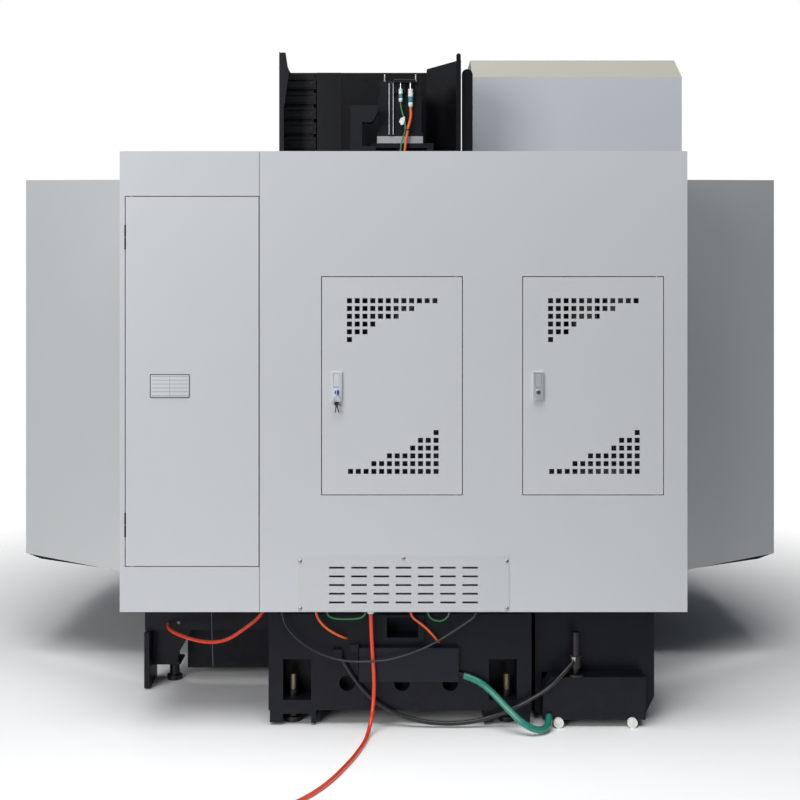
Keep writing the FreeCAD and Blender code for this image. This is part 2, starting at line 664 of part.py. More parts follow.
SIDE_LINE = [(OPENING_HALF_X + 15, FRONT_WALL), (CORNER_X, FRONT_WALL), (HALF_WIDTH, CORNER_Y),
             (HALF_WIDTH, WING_OUTER_Y), (WING_INNER_X, CABINET_FRONT), (WING_INNER_X - 105, CABINET_FRONT)]
ROOF_REAR = 150.0
SKIRT_HALF_X = 1300.0
SKIRT_BOTTOM = 60.0
PAN_LINE = [(HALF_WIDTH - SHEET, 422.0), (1000.0, 330.0), (BASE_HALF_X, 240.0)]


def footprint(z0, z1, inner_x, rear):
    """The inside of the enclosure's right half in plan, as a prism."""
    inner = offset_line(SIDE_LINE[:5], SHEET)
    corners = [(inner_x, inner[0].y)] + [(point.x, point.y) for point in inner[1:3]]
    bend, end = inner[3], inner[4]
    if rear > bend.y:
        share = (rear - bend.y) / (end.y - bend.y)
        corners += [(bend.x, bend.y), (bend.x + share * (end.x - bend.x), rear)]
    else:
        corners += [(bend.x, rear)]
    corners += [(inner_x, rear)]
    return prism([(x, y, z0) for x, y in corners], (0, 0, z1 - z0))


def enclosure_side():
    sheet = wall(SIDE_LINE, WALL_BOTTOM, WALL_TOP)
    slope = prism([(HALF_WIDTH, WING_OUTER_Y + 1, WALL_TOP), (WING_INNER_X, WING_OUTER_Y + 1, WALL_TOP - WING_DROP),
                   (WING_INNER_X - 120, WING_OUTER_Y + 1, WALL_TOP - WING_DROP),
                   (WING_INNER_X - 120, WING_OUTER_Y + 1, WALL_TOP + 10), (HALF_WIDTH, WING_OUTER_Y + 1, WALL_TOP + 10)],
                  (0, 500, 0))
    roof = footprint(WALL_TOP - SHEET, WALL_TOP, ROOF_INNER_X, ROOF_REAR)
    return fused(minus(sheet, slope), roof)


def enclosure_right():
    return enclosure_side()


def enclosure_left():
    hole = box(COVER_LEFT + 25, COVER_RIGHT - 25, COVER_FRONT + 25, COVER_REAR - 25, WALL_TOP - 10, WALL_TOP + 10)
    return minus(mirrored(enclosure_side()), hole)


def enclosure_front():
    half = OPENING_HALF_X + 15
    face = box(-half, half, FRONT_WALL, FRONT_WALL + SHEET, WALL_BOTTOM, WALL_TOP)
    skirt = box(-SKIRT_HALF_X, SKIRT_HALF_X, FRONT_WALL, FRONT_WALL + SHEET, SKIRT_BOTTOM, WALL_BOTTOM)
    ends = [box(min(side * SKIRT_HALF_X, side * (SKIRT_HALF_X - SHEET)),
                max(side * SKIRT_HALF_X, side * (SKIRT_HALF_X - SHEET)),
                FRONT_WALL, FRONT_WALL + 400, SKIRT_BOTTOM, 374) for side in (1, -1)]
    rails = [box(-1150, 1150, FRONT_WALL + SHEET, FRONT_WALL + 40, z, z + 15)
             for z in (OPENING_BOTTOM - 20, OPENING_TOP + 10)]
    opening = box(-OPENING_HALF_X, OPENING_HALF_X, FRONT_WALL, FRONT_WALL + SHEET, OPENING_BOTTOM, OPENING_TOP)
    return minus(fused(face, skirt, *ends, *rails), opening)


def front_door(side):
    """A sliding door with its window pane; side is +1 for the right door."""
    inner = 1.0
    outer = OPENING_HALF_X + DOOR_OVERLAP
    y0 = FRONT_WALL + SHEET + 2
    y1 = y0 + DOOR_THICK
    z0 = OPENING_BOTTOM - 5 + TOUCH
    z1 = OPENING_TOP + 10 - TOUCH
    leaf = box(inner, outer, y0, y1, z0, z1)
    leaf = minus(leaf,
                 box(inner + 30, outer - 30, y0 + 2, y1, z0 + 30, z1 - 30),
                 box(110, 470, y0, y0 + 2, 1180, 1830))
    stiles = [box(x, x + 25, y0 + 2, y1, z0 + 30, z1 - 30) for x in (75, 480)]
    pane = box(100, 480, y0 + 2, y0 + 10, 1170, 1840)
    handle = fused(box(18, 34, y0 - 45, y0 - 33, 1250, 1600),
                   *[box(20, 32, y0 - 33, y0, z, z + 20) for z in (1270, 1560)])
    leaf = fused(leaf, *stiles, handle)
    if side > 0:
        return [leaf, pane]
    return [mirrored(leaf), mirrored(pane)]


PAN_REAR = 225.0         # clear of the saddle at its rear-most travel
PAN_BACK_TOP = 1000.0
SKIRT_REAR = 530.0
SKIRT_OUTER_X = 858.0
SKIRT_UNDER, SKIRT_TOP = 36.0, 425.0


def chip_pan():
    under = [(x, FRONT_WALL, z) for x, z in PAN_LINE]
    upper = [(x, FRONT_WALL, z + SHEET) for x, z in PAN_LINE]
    back_line = PAN_LINE + [(BASE_HALF_X, PAN_BACK_TOP), (HALF_WIDTH - SHEET, PAN_BACK_TOP)]
    sheet = prism(under + upper[::-1], (0, PAN_REAR - FRONT_WALL, 0))
    back = prism([(x, PAN_REAR - SHEET, z) for x, z in back_line], (0, SHEET, 0))
    half = fused(sheet, back).common(footprint(0, WALL_TOP, BASE_HALF_X, PAN_REAR))
    inner_x, inner_z = PAN_LINE[2]
    outer_x = SKIRT_OUTER_X
    outer_z = inner_z + (PAN_LINE[1][1] - inner_z) * (outer_x - inner_x) / (PAN_LINE[1][0] - inner_x)
    chute = prism([(inner_x, PAN_REAR, inner_z), (outer_x, PAN_REAR, outer_z),
                   (outer_x, PAN_REAR, outer_z + SHEET), (inner_x, PAN_REAR, inner_z + SHEET)],
                  (0, SKIRT_REAR - PAN_REAR, 0))
    skirt = box(inner_x, outer_x, SKIRT_REAR, SKIRT_REAR + SHEET, SKIRT_UNDER, SKIRT_TOP)
    return [fused(half, chute, skirt), mirrored(half)]


# ---- Electrical cabinet ----

SEAM_WALL = 3.0
PIN_BEHIND = 9.0        # hinge pin's axis behind the door's face
DOOR_SHEET = 2.0
PLATE_BACK = 16.0
HOLES_TOP_Z = 1524.0
HOLES_LOW_Z = 918.0


def door_places():
    """Left, right, bottom, top and hinge side of each cabinet door."""
    places = [TALL_DOOR + (1,)]
    for left in VENT_DOOR_LEFTS:
        places.append((left, left + VENT_DOOR_WIDTH, VENT_DOOR_BOTTOM, VENT_DOOR_TOP, -1))
    return places


def hinge_x(place):
    left, right, bottom, top, side = place
    return right - HINGE_INSET if side > 0 else left + HINGE_INSET


def electrical_cabinet():
    shell = box(CABINET_LEFT, CABINET_RIGHT, CABINET_FRONT, REAR, CABINET_BOTTOM, CABINET_TOP)
    rooms = [box(CABINET_LEFT + SHEET, CABINET_SEAM - SEAM_WALL, CABINET_FRONT + SHEET, REAR - SHEET,
                 CABINET_BOTTOM + SHEET, CABINET_TOP - SHEET),
             box(CABINET_SEAM, CABINET_RIGHT - SHEET, CABINET_FRONT + SHEET, REAR - SHEET,
                 CABINET_BOTTOM + SHEET, CABINET_TOP - SHEET)]
    openings = []
    hinges = []
    for place in door_places():
        left, right, bottom, top, side = place
        openings.append(box(left - DOOR_GAP, right + DOOR_GAP, REAR - SHEET, REAR, bottom - DOOR_GAP, top + DOOR_GAP))
        x = hinge_x(place)
        pin_y = REAR - PIN_BEHIND
        for edge, way in ((bottom, -1), (top, 1)):
            rim = edge + way * DOOR_GAP
            far = rim + way * 22
            hinges.append(box(x - 14, x + 14, REAR - SHEET - 14, REAR - SHEET, min(rim, far), max(rim, far)))
            hinges.append(rod(HINGE_PIN_R, (x, pin_y, rim), (x, pin_y, edge - way * 10)))
    x0, x1, z0, z1 = VENT_PANEL
    openings.append(box(x0 + 40, x1 - 40, REAR - SHEET, REAR, z0 + 25, z1 - 25))
    x, y, z = AIR_HOSE[0]
    gland = rod(12, (x, y, z + 0.2), (x, y, CABINET_BOTTOM))
    return fused(minus(shell, *rooms, *openings), gland, *hinges)


def door_pan(place):
    left, right, bottom, top, side = place
    leaf = box(left, right, REAR - DOOR_DEPTH, REAR, bottom, top)
    inside = box(left + DOOR_SHEET, right - DOOR_SHEET, REAR - DOOR_DEPTH, REAR - DOOR_SHEET,
                 bottom + DOOR_SHEET, top - DOOR_SHEET)
    x = hinge_x(place)
    bore = rod(HINGE_PIN_R + RUNNING, (x, REAR - PIN_BEHIND, bottom - 5), (x, REAR - PIN_BEHIND, top + 5))
    return minus(leaf, inside, bore)


def tall_door():
    leaf = door_pan(door_places()[0])
    plate = box(746, 888, REAR, REAR + 1.5, 1179, 1264)
    return [leaf, plate]


def vent_door(index):
    """A door with two stepped groups of square holes and its lock; index picks the door."""
    place = door_places()[index]
    left, right, bottom, top, side = place
    half = HOLE_SIDE / 2
    first_x = right - 97.5
    last_x = left + 92.0
    holes = []
    for row, count in enumerate(HOLE_ROWS):
        for i in range(count):
            for x, z in ((first_x - i * HOLE_PITCH, HOLES_TOP_Z - row * HOLE_PITCH),
                         (last_x + i * HOLE_PITCH, HOLES_LOW_Z + row * HOLE_PITCH)):
                holes.append(box(x - half, x + half, REAR - DOOR_SHEET, REAR, z - half, z + half))
    leaf = minus(door_pan(place), *holes)
    return [leaf] + lock_plate(right - LOCK_INSET, index == 1)


LEVER_PIVOT_Z = LOCK_MIDDLE + 2
LEVER_PIVOT_Y = REAR + 7.0
LEVER_PIN_R = 2.0
LEVER_HALF = 11.0


def lock_plate(x, with_key):
    z0 = LOCK_MIDDLE - LOCK_HEIGHT / 2
    z1 = LOCK_MIDDLE + LOCK_HEIGHT / 2
    plate = box(x - LOCK_WIDTH / 2, x + LOCK_WIDTH / 2, REAR, REAR + 11, z0, z1)
    recess = box(x - LEVER_HALF - 1, x + LEVER_HALF + 1, REAR + 2, REAR + 11, LEVER_PIVOT_Z - 5, z1 - 4)
    pin = rod(LEVER_PIN_R, (x - LEVER_HALF - 1, LEVER_PIVOT_Y, LEVER_PIVOT_Z),
              (x + LEVER_HALF + 1, LEVER_PIVOT_Y, LEVER_PIVOT_Z))
    cylinder = rod(9, (x, REAR + 11, LOCK_MIDDLE - 20), (x, REAR + 14, LOCK_MIDDLE - 20))
    foot = box(x - 12, x + 12, REAR + 11, REAR + 13, z0 + 4, z0 + 14)
    plate = fused(minus(plate, recess), pin, cylinder, foot)
    if not with_key:
        return [plate]
    key = box(x - 1.2, x + 1.2, REAR + 14, REAR + LOCK_OUT, LOCK_MIDDLE - 30, LOCK_MIDDLE - 10)
    return [plate, key]


def lever(index):
    x = door_places()[index][1] - LOCK_INSET
    z1 = LOCK_MIDDLE + LOCK_HEIGHT / 2 - 5
    bar = box(x - LEVER_HALF, x + LEVER_HALF, REAR + 3, REAR + 11, LEVER_PIVOT_Z, z1)
    end = rod(4, (x - LEVER_HALF, LEVER_PIVOT_Y, LEVER_PIVOT_Z), (x + LEVER_HALF, LEVER_PIVOT_Y, LEVER_PIVOT_Z))
    bore = rod(LEVER_PIN_R + RUNNING, (x - LEVER_HALF, LEVER_PIVOT_Y, LEVER_PIVOT_Z),
               (x + LEVER_HALF, LEVER_PIVOT_Y, LEVER_PIVOT_Z))
    return minus(fused(bar, end), bore)


def vent_panel():
    x0, x1, z0, z1 = VENT_PANEL
    middle_x = (x0 + x1) / 2
    middle_z = (z0 + z1) / 2 - 5
    slots = []
    for column_index in range(SLOT_COLUMNS):
        for row in range(SLOT_ROWS):
            x = middle_x + (column_index - (SLOT_COLUMNS - 1) / 2) * SLOT_PITCH_X
            z = middle_z + (row - (SLOT_ROWS - 1) / 2) * SLOT_PITCH_Z
            slots.append(box(x - SLOT_LENGTH / 2, x + SLOT_LENGTH / 2, REAR, REAR + DOOR_SHEET,
                             z - SLOT_HEIGHT / 2, z + SLOT_HEIGHT / 2))
    return minus(box(x0, x1, REAR, REAR + DOOR_SHEET, z0, z1), *slots)


def panel_screws():
    x0, x1, z0, z1 = VENT_PANEL
    places = [(x1 - 8, z1 - 18), (x1 - 8, z0 + 10), ((x0 + x1) / 2, z1 - 8), (x0 + 8, z1 - 18), (x0 + 8, z0 + 10)]
    face = REAR + DOOR_SHEET
    return [rod(7, (x, face, z), (x, face + 4, z)) for x, z in places]


def mounting_plate():
    y0 = CABINET_FRONT + SHEET
    plate = box(CABINET_LEFT + 60, CABINET_SEAM - 60, y0 + PLATE_BACK, y0 + PLATE_BACK + SHEET, 480, 1990)
    posts = [rod(10, (x, y0, z), (x, y0 + PLATE_BACK, z)) for x in (-900, -250, 400) for z in (540, 1240, 1930)]
    return fused(plate, *posts)


def servo_drives():
    """Drives, contactors and a transformer on the mounting plate."""
    y0 = CABINET_FRONT + SHEET + PLATE_BACK + SHEET
    units = [box(-880 + i * 130, -880 + i * 130 + 90, y0, y0 + 190, 1280, 1660) for i in range(5)]
    units += [box(-160 + i * 110, -160 + i * 110 + 70, y0, y0 + 120, 1330, 1560) for i in range(5)]
    units += [box(-860, -560, y0, y0 + 220, 620, 880), box(-380, 380, y0, y0 + 70, 1000, 1100)]
    return units


# ---- Under the cabinet ----


def hose_end(points, radius, length):
    """The spigot that a hose's first point is pushed against, in line with its first run."""
    start = V(*points[0])
    way = (start - V(*points[1])).normalize()
    return Part.makeCylinder(radius, length, start, way)


BEAM_FRONT = 620.0
BEAM_REAR = 665.0
BEAM_UNDER = 222.0


def cabinet_leg():
    """The two beams under the cabinet's front edge and their legs."""
    beam = minus(box(512, 1005, BEAM_FRONT, BEAM_REAR, BEAM_UNDER, CABINET_BOTTOM),
                 box(520, 985, BEAM_FRONT, BEAM_REAR - 8, BEAM_UNDER + 8, CABINET_BOTTOM - 8),
                 rod(7, (913, BEAM_FRONT, 245), (913, BEAM_REAR, 245)),
                 rod(7, (873, BEAM_FRONT, 250), (873, BEAM_REAR, 250)))
    outer = box(980, 1000, 540, 705, 5, BEAM_UNDER)
    web = prism([(880, 590, LEG_WEB_BOTTOM), (980, 590, LEG_WEB_BOTTOM), (980, 590, BEAM_UNDER),
                 (830, 590, BEAM_UNDER), (830, 590, 205), (880, 590, 120)], (0, 40, 0))
    shelf = box(872, 980, 520, 630, LEG_WEB_BOTTOM, LEG_WEB_BOTTOM + 10)
    shelf = shelf.cut(rod(FOOT_STUD_R + TOUCH, (*LEG_FOOT, 0), (*LEG_FOOT, 200)))
    bracket = box(472, 512, BEAM_FRONT, BEAM_REAR, 340, BASE_REAR_TOP)
    other = minus(box(-925, -512, BEAM_FRONT, BEAM_REAR, 330, CABINET_BOTTOM),
                  box(-917, -520, BEAM_FRONT, BEAM_REAR - 8, 338, CABINET_BOTTOM - 8))
    post = box(-905, -885, BEAM_FRONT, BEAM_REAR, 0, 330)
    return [fused(beam, outer, web, shelf, bracket), fused(other, post, mirrored(bracket))]


TANK_BODY = (-924.0, -491.0, 680.0, 1050.0, 20.0, 400.0)
TANK_SHEET = 4.0
AXLE_R = 5.0
AXLE_XS = (-566.0, -829.0)
PUMP = (-632.0, 1098.0)


def coolant_tank():
    left, right, front, rear, low, high = TANK_BODY
    t = TANK_SHEET

    def tank(inset):
        body = box(left + inset, right - inset, front + inset, rear - inset, low + 6 + inset, high - inset)
        tongue = box(TANK_LEFT + inset, TANK_RIGHT - inset, TANK_FRONT + inset, TANK_REAR - inset,
                     TANK_UNDER + 4 + inset, TANK_TOP - inset)
        return fused(body, tongue)

    corner = prism([(left, front, low), (left + 32, front, low), (left, front, 85)], (0, rear - front, 0))
    slant = prism([(TANK_RIGHT, rear, TANK_TOP), (TANK_RIGHT - 28, rear, TANK_TOP), (TANK_RIGHT, rear, TANK_TOP - 45)],
                  (0, TANK_REAR - rear, 0))
    inner_corner = moved(corner, t, 0, t)
    inner_slant = moved(slant, -t, 0, -t)
    shell = minus(tank(0), corner, slant).cut(minus(tank(t), inner_corner, inner_slant))
    blocks = [box(x - 14, x + 14, y, y + 20, WHEEL_R - 9, TANK_UNDER + 4 + t)
              for x in AXLE_XS for y in (TANK_FRONT + 20, TANK_REAR - 40)]
    spigot = hose_end(COOLANT_HOSE[::-1], 11, 13)
    shell = fused(shell, spigot, *blocks)
    cuts = [rod(AXLE_R + RUNNING, (x, TANK_FRONT, WHEEL_R), (x, TANK_REAR, WHEEL_R)) for x in AXLE_XS]
    inlet = box(-850, -540, TANK_FRONT + 40, 130, TANK_TOP - 10, TANK_TOP + 1)
    pump_hole = rod(30, (*PUMP, TANK_TOP - 10), (*PUMP, TANK_TOP + 1))
    return minus(shell, inlet, pump_hole, *cuts)


def wheelset(x):
    parts = [rod(AXLE_R, (x, TANK_FRONT - 14, WHEEL_R), (x, TANK_REAR + 13, WHEEL_R)),
             rod(WHEEL_R, (x, TANK_FRONT - 13, WHEEL_R), (x, TANK_FRONT - TOUCH, WHEEL_R)),
             rod(WHEEL_R, (x, TANK_REAR + TOUCH, WHEEL_R), (x, TANK_REAR + 12, WHEEL_R))]
    return fused(*parts)


def coolant_pump():
    x, y = PUMP
    return fused(rod(26, (x, y, 40), (x, y, TANK_TOP)), rod(36, (x, y, TANK_TOP), (x, y, TANK_TOP + 7)),
                 rod(13, (x, y, TANK_TOP + 7), (x, y, 332)), rod(20, (x, y, 205), (x, y, 245)),
                 hose_end(BLACK_HOSE[::-1], 7.5, 36))


def drain_box():
    """The drain box, its clipped pipe and, beside it, the elbow that the black hose starts from."""
    body = box(-209, 146, BASE_REAR, BASE_REAR + 26, 163, 284)
    tab = box(146, 178, BASE_REAR, BASE_REAR + 8, 262, 290)
    spigot = hose_end(COOLANT_HOSE, 9, 26)
    pipe = rod(5, (152, BASE_REAR + 14, 206), (152, BASE_REAR + 14, 296))
    clip = box(146, 158, BASE_REAR, BASE_REAR + 12, 222, 236)
    elbow = fused(box(208, 238, BASE_REAR, BASE_REAR + 22, 248, 276), hose_end(BLACK_HOSE, 7, 24))
    return [fused(body, tab, spigot, pipe, clip), elbow]


# ---- Operator's controls ----

PANEL_X = (700.0, 1100.0)
PANEL_Z = (1050.0, 1750.0)
PANEL_FACE = FRONT + 35
E_STOP = (1030.0, 1120.0)
KNOB = (780.0, 1160.0)


def control_panel():
    body = box(*PANEL_X, PANEL_FACE, FRONT_WALL, *PANEL_Z)
    screen = box(PANEL_X[0] + 50, PANEL_X[1] - 50, PANEL_FACE, PANEL_FACE + 4, 1440, 1690)
    bores = [rod(8 + RUNNING, (E_STOP[0], PANEL_FACE, E_STOP[1]), (E_STOP[0], PANEL_FACE + 30, E_STOP[1])),
             rod(5 + RUNNING, (KNOB[0], PANEL_FACE, KNOB[1]), (KNOB[0], PANEL_FACE + 16, KNOB[1]))]
    keys = [box(760 + i * 34, 784 + i * 34, PANEL_FACE - 3, PANEL_FACE, 1230 + k * 34, 1254 + k * 34)
            for i in range(8) for k in range(5)]
    return fused(minus(body, screen, *bores), *keys)


def e_stop():
    x, z = E_STOP
    return fused(rod(20, (x, FRONT, z), (x, FRONT + 14, z)), rod(8, (x, FRONT + 14, z), (x, PANEL_FACE + 20, z)))


def override_knob():
    x, z = KNOB
    body = fused(rod(17, (x, PANEL_FACE - 20, z), (x, PANEL_FACE - TOUCH, z)),
                 rod(5, (x, PANEL_FACE - TOUCH, z), (x, PANEL_FACE + 15, z)))
    return body.cut(box(x - 1, x + 1, PANEL_FACE - 21, PANEL_FACE - 19, z, z + 20))


# ---- Hoses and cables ----


def hose(points, radius, name):
    """A tube along straight runs joined by tangent arcs, each as large as its two runs allow."""
    points = [V(*point) for point in points]
    edges = []
    radii = []
    last = points[0]
    for before, here, after in zip(points, points[1:], points[2:]):
        way_in = here - before
        way_out = after - here
        turn = way_in.getAngle(way_out)
        back = 0.45 * min(way_in.Length, way_out.Length)
        way_in.normalize()
        way_out.normalize()
        start = here - way_in * back
        end = here + way_out * back
        radii.append(back / math.tan(turn / 2))
        lift = (way_out - way_in).normalize()
        reach = back / math.cos((math.pi - turn) / 2)
        middle = here + lift * (reach - radii[-1])
        edges.append(Part.LineSegment(last, start).toShape())
        edges.append(Part.Arc(start, middle, end).toShape())
        last = end
    edges.append(Part.LineSegment(last, points[-1]).toShape())
    path = Part.Wire(edges)
    ring = Part.Wire(Part.makeCircle(radius, points[0], points[1] - points[0]))
    solid = path.makePipeShell([ring], True, False)
    ratio = solid.Volume / (math.pi * radius ** 2 * path.Length)
    print("%-14s length %6.0f, smallest radius %5.0f (%.1f diameters), volume ratio %.4f" % (
        name, path.Length, min(radii), min(radii) / (2 * radius), ratio))
    return solid


AIR_HOSE_R = 7.0
GLAND_DROP = 8.2
FLOOR_RUN = AIR_HOSE_R + 0.2
AIR_HOSE = [
    (104, 1146, CABINET_BOTTOM - GLAND_DROP), (102, 1146, 335), (97, 1147, 255), (92, 1149, 180), (93, 1155, 115),
    (98, 1171, 62), (106, 1201, 27), (114, 1245, 10), (122, 1300, FLOOR_RUN), (137, 1368, FLOOR_RUN),
    (154, 1440, FLOOR_RUN), (179, 1522, FLOOR_RUN), (207, 1608, FLOOR_RUN), (243, 1696, FLOOR_RUN),
    (291, 1782, FLOOR_RUN), (352, 1858, FLOOR_RUN), (426, 1919, FLOOR_RUN), (512, 1961, FLOOR_RUN),
    (606, 1980, FLOOR_RUN), (702, 1975, FLOOR_RUN), (794, 1947, FLOOR_RUN), (876, 1899, FLOOR_RUN)]

BEAM_HOSE = [
    (913, BEAM_REAR, 245), (909, 700, 243.5), (890, 738, 240), (860, 768, 235), (824, 795, 230), (785, 818, 226),
    (745, 838, 224), (705, 856, 227), (668, 872, 237), (634, 886, 254), (602, 898, 277), (572, 908, 301),
    (547, 915, 320), (525, 920, 341), (508, 923, 366), (499, 924, 394), (496, 924, CABINET_BOTTOM - 1)]

BLACK_HOSE = [
    (205, 1121, 236), (176, 1122, 188), (143, 1124, 144), (106, 1126, 106), (65, 1128, 75), (20, 1130, 51),
    (-30, 1132, 33), (-84, 1134, 21), (-140, 1135, 15), (-198, 1136, 15), (-256, 1136, 21), (-314, 1135, 34),
    (-370, 1134, 53), (-424, 1136, 78), (-474, 1140, 107), (-522, 1144, 138), (-566, 1143, 177),
    (-598, 1125, 206)]

COOLANT_HOSE = [
    (-228, BASE_REAR + 13, 182), (-277, 1131, 169), (-323, 1150, 136), (-366, 1178, 97), (-408, 1205, 61),
    (-434, 1218, 42), (-462, 1222, 27), (-489, 1215, 19), (-511, 1199, 18), (-526, 1175, 25),
    (-532, TANK_REAR + 8, 42)]

CABLE_TOP = CABINET_BOTTOM - 1.0
CABLE_END = BASE_REAR + 1.6
SMALL_CABLES = {
    "orange_left": (4.0, [(301, 1140, CABLE_TOP), (296, 1142, 398), (282, 1144, 376), (262, 1145, 357),
                          (238, 1144, 341), (214, 1140, 328), (197, 1130, 318), (190, CABLE_END, 313)]),
    "orange_right": (4.0, [(-37, 1140, CABLE_TOP), (-39.5, 1141, 404), (-49, 1142, 391), (-64, 1143, 380),
                           (-81, 1144, 368), (-98, 1144, 353), (-114, 1144, 336), (-128, 1141, 319),
                           (-137, 1131, 305), (-141, CABLE_END, 297)]),
    "green_left": (3.0, [(262, 1130, CABLE_TOP), (260.5, 1130, 406), (254, 1130.5, 396.5), (243, 1131, 390.5),
                         (229, 1131, 387.5), (211, 1131, 386.5), (192, 1131, 386.2), (173, 1131, 386.5),
                         (155, 1131, 387.5), (141, 1131, 390.5), (130, 1130.5, 396.5), (123.5, 1130, 406),
                         (122, 1130, CABLE_TOP)]),
    "green_right": (3.0, [(-98, 1128, CABLE_TOP), (-100, 1129, 402), (-111, 1130, 388), (-128, 1131, 380),
                          (-147, 1131, 379), (-165, 1130, 387), (-175, 1129, 402),
                          (-177, 1128, CABLE_TOP)]),
    "black": (4.0, [(420, 1150, CABLE_TOP), (414, 1151, 385), (394, 1152, 351), (364, 1152, 320), (328, 1152, 293),
                    (288, 1152, 270), (244, 1153, 253), (197, 1154, 243), (149, 1155, 240), (60, 1164, 246),
                    (10, 1160, 256), (-36, 1155, 269), (-76, 1152, 284), (-110, 1151, 300), (-141, 1151, 317),
                    (-171, 1152, 336), (-200, 1152, 355), (-228, 1152, 373), (-252, 1152, 389),
                    (-267, 1152, 404), (-272, 1152, CABLE_TOP)]),
    "grey_wire": (2.0, [(729, 780, CABLE_TOP), (728, 781, 376), (726, 781, 331), (724.5, 780.6, 287), (724, 779, 243),
                        (722, 779, 199), (721, 780, 156), (719, 780, 114)]),
}


def air_hose_fitting():
    end = V(*AIR_HOSE[-1])
    way = (end - V(*AIR_HOSE[-2])).normalize()
    sleeve = Part.makeCylinder(9, 26, end, way)
    nut = Part.makeCylinder(11.5, 14, end + way * 26, way)
    plug = Part.makeCylinder(6, 22, end + way * 40, way)
    body = fused(sleeve, nut, plug)
    body.translate(V(0, 0, 11.5 - FLOOR_RUN))
    return body


# ---- The pieces ----

save("base_casting", base_casting())
save("column", column())
save("levelling_feet", *levelling_feet())
save("fixed_rails", *fixed_rails())
save("x_rails", *x_rails())
save("y_carriages", *y_carriages())
save("x_carriages", *x_carriages())
save("z_carriages", *z_carriages())
save("screw_bearings", *screw_bearings())
save("y_screw", ball_screw((0, Y_SCREW[0], Y_SCREW_Z), (0, Y_SCREW[1], Y_SCREW_Z), SCREW_JOURNAL))
save("x_screw", ball_screw((-X_SCREW_HALF, SPINDLE_Y, X_SCREW_Z), (X_SCREW_HALF, SPINDLE_Y, X_SCREW_Z), SCREW_JOURNAL))
save("z_screw", ball_screw((0, Z_SCREW_Y, Z_SCREW[0]), (0, Z_SCREW_Y, Z_SCREW[1]), SCREW_JOURNAL + 70))
save("y_motor", y_motor())
save("x_motor", x_motor())
save("z_motor", z_motor())
save("z_motor_mount", *z_motor_mount())
save("saddle", saddle())
save("table", table())
save("spindle_head", spindle_head())
save("spindle", spindle())
save("spindle_motor", spindle_motor())
save("magazine_bracket", magazine_bracket())
save("magazine_carriage", magazine_carriage())
save("tool_disc", tool_disc())
save("tool_holders", *tool_holders())
save("magazine_cover", magazine_cover())
save("top_guard", top_guard(), *guard_plates())
save("cable_chain", cable_chain())
save("enclosure_right", enclosure_right())
save("enclosure_left", enclosure_left())
save("enclosure_front", enclosure_front())
save("front_door_right", *front_door(1))
save("front_door_left", *front_door(-1))
save("chip_pan", *chip_pan())
save("electrical_cabinet", electrical_cabinet())
save("tall_door", *tall_door())
save("vent_door_a", *vent_door(1))
save("vent_door_b", *vent_door(2))
save("lever_a", lever(1))
save("lever_b", lever(2))
save("vent_panel", vent_panel())
save("panel_screws", *panel_screws())
save("mounting_plate", mounting_plate())
save("servo_drives", *servo_drives())
save("cabinet_leg", *cabinet_leg())
save("coolant_tank", coolant_tank())
save("wheelset_a", wheelset(AXLE_XS[0]))
save("wheelset_b", wheelset(AXLE_XS[1]))
save("coolant_pump", coolant_pump())
save("drain_box", *drain_box())
save("control_panel", control_panel())
save("e_stop", e_stop())
save("override_knob", override_knob())
save("air_hose", hose(AIR_HOSE, AIR_HOSE_R, "air_hose"))
save("air_hose_fitting", air_hose_fitting())
save("beam_hose", hose(BEAM_HOSE, AIR_HOSE_R, "beam_hose"))
save("black_hose", hose(BLACK_HOSE, 8.0, "black_hose"))
save("coolant_hose", hose(COOLANT_HOSE, 12.0, "coolant_hose"))
save("small_cables", *[hose(points, radius, name) for name, (radius, points) in SMALL_CABLES.items()])
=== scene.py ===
# %% [markdown]
# A vertical machining centre, seen from the rear. The castings, guides, motors and sheet-metal shells come from the
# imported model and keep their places. This lesson gives every one of them a finish and adds what sheet and paint alone
# can't show: keys, plates, screws, plugs, threads and hoses. Everything is in metres, with +Z up and +Y to the rear.

# %% Load the machine
import math

import bmesh
import bpy
from mathutils import Matrix, Vector


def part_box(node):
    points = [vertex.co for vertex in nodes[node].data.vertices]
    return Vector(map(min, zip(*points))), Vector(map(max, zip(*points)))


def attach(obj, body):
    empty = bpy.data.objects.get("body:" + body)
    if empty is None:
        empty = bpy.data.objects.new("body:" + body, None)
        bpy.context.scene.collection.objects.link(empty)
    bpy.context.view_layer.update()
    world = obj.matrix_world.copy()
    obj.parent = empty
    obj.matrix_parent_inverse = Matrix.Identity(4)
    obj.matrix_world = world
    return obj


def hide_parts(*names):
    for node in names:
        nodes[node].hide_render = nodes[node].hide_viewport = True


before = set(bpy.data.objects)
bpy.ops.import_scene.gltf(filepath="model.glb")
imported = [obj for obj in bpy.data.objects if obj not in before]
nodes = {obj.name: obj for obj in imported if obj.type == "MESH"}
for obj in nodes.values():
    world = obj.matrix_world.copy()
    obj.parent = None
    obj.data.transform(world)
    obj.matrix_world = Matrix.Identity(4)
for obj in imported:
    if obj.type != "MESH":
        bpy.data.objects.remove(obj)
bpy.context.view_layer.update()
print("pieces in the frame:", len(nodes))

# %% [markdown]
# The camera stands level behind the machine at eye height. A small downward shift keeps the uprights parallel and
# still shows the floor, as an architect's lens does. The standard view transform keeps pale paint pale.

# %% Camera
CAMERA_PLACE = Vector((0.0, 5.66, 1.562))
scene = bpy.context.scene
scene.view_settings.view_transform = "Standard"
camera_data = bpy.data.cameras.new("camera")
camera_data.lens = 57.05
camera_data.sensor_width = 36.0
camera_data.shift_y = -0.1375
camera = bpy.data.objects.new("camera", camera_data)
camera.location = CAMERA_PLACE
camera.rotation_euler = (math.radians(90), 0.0, math.radians(180))
scene.collection.objects.link(camera)
scene.camera = camera
print("camera at", tuple(camera.location))

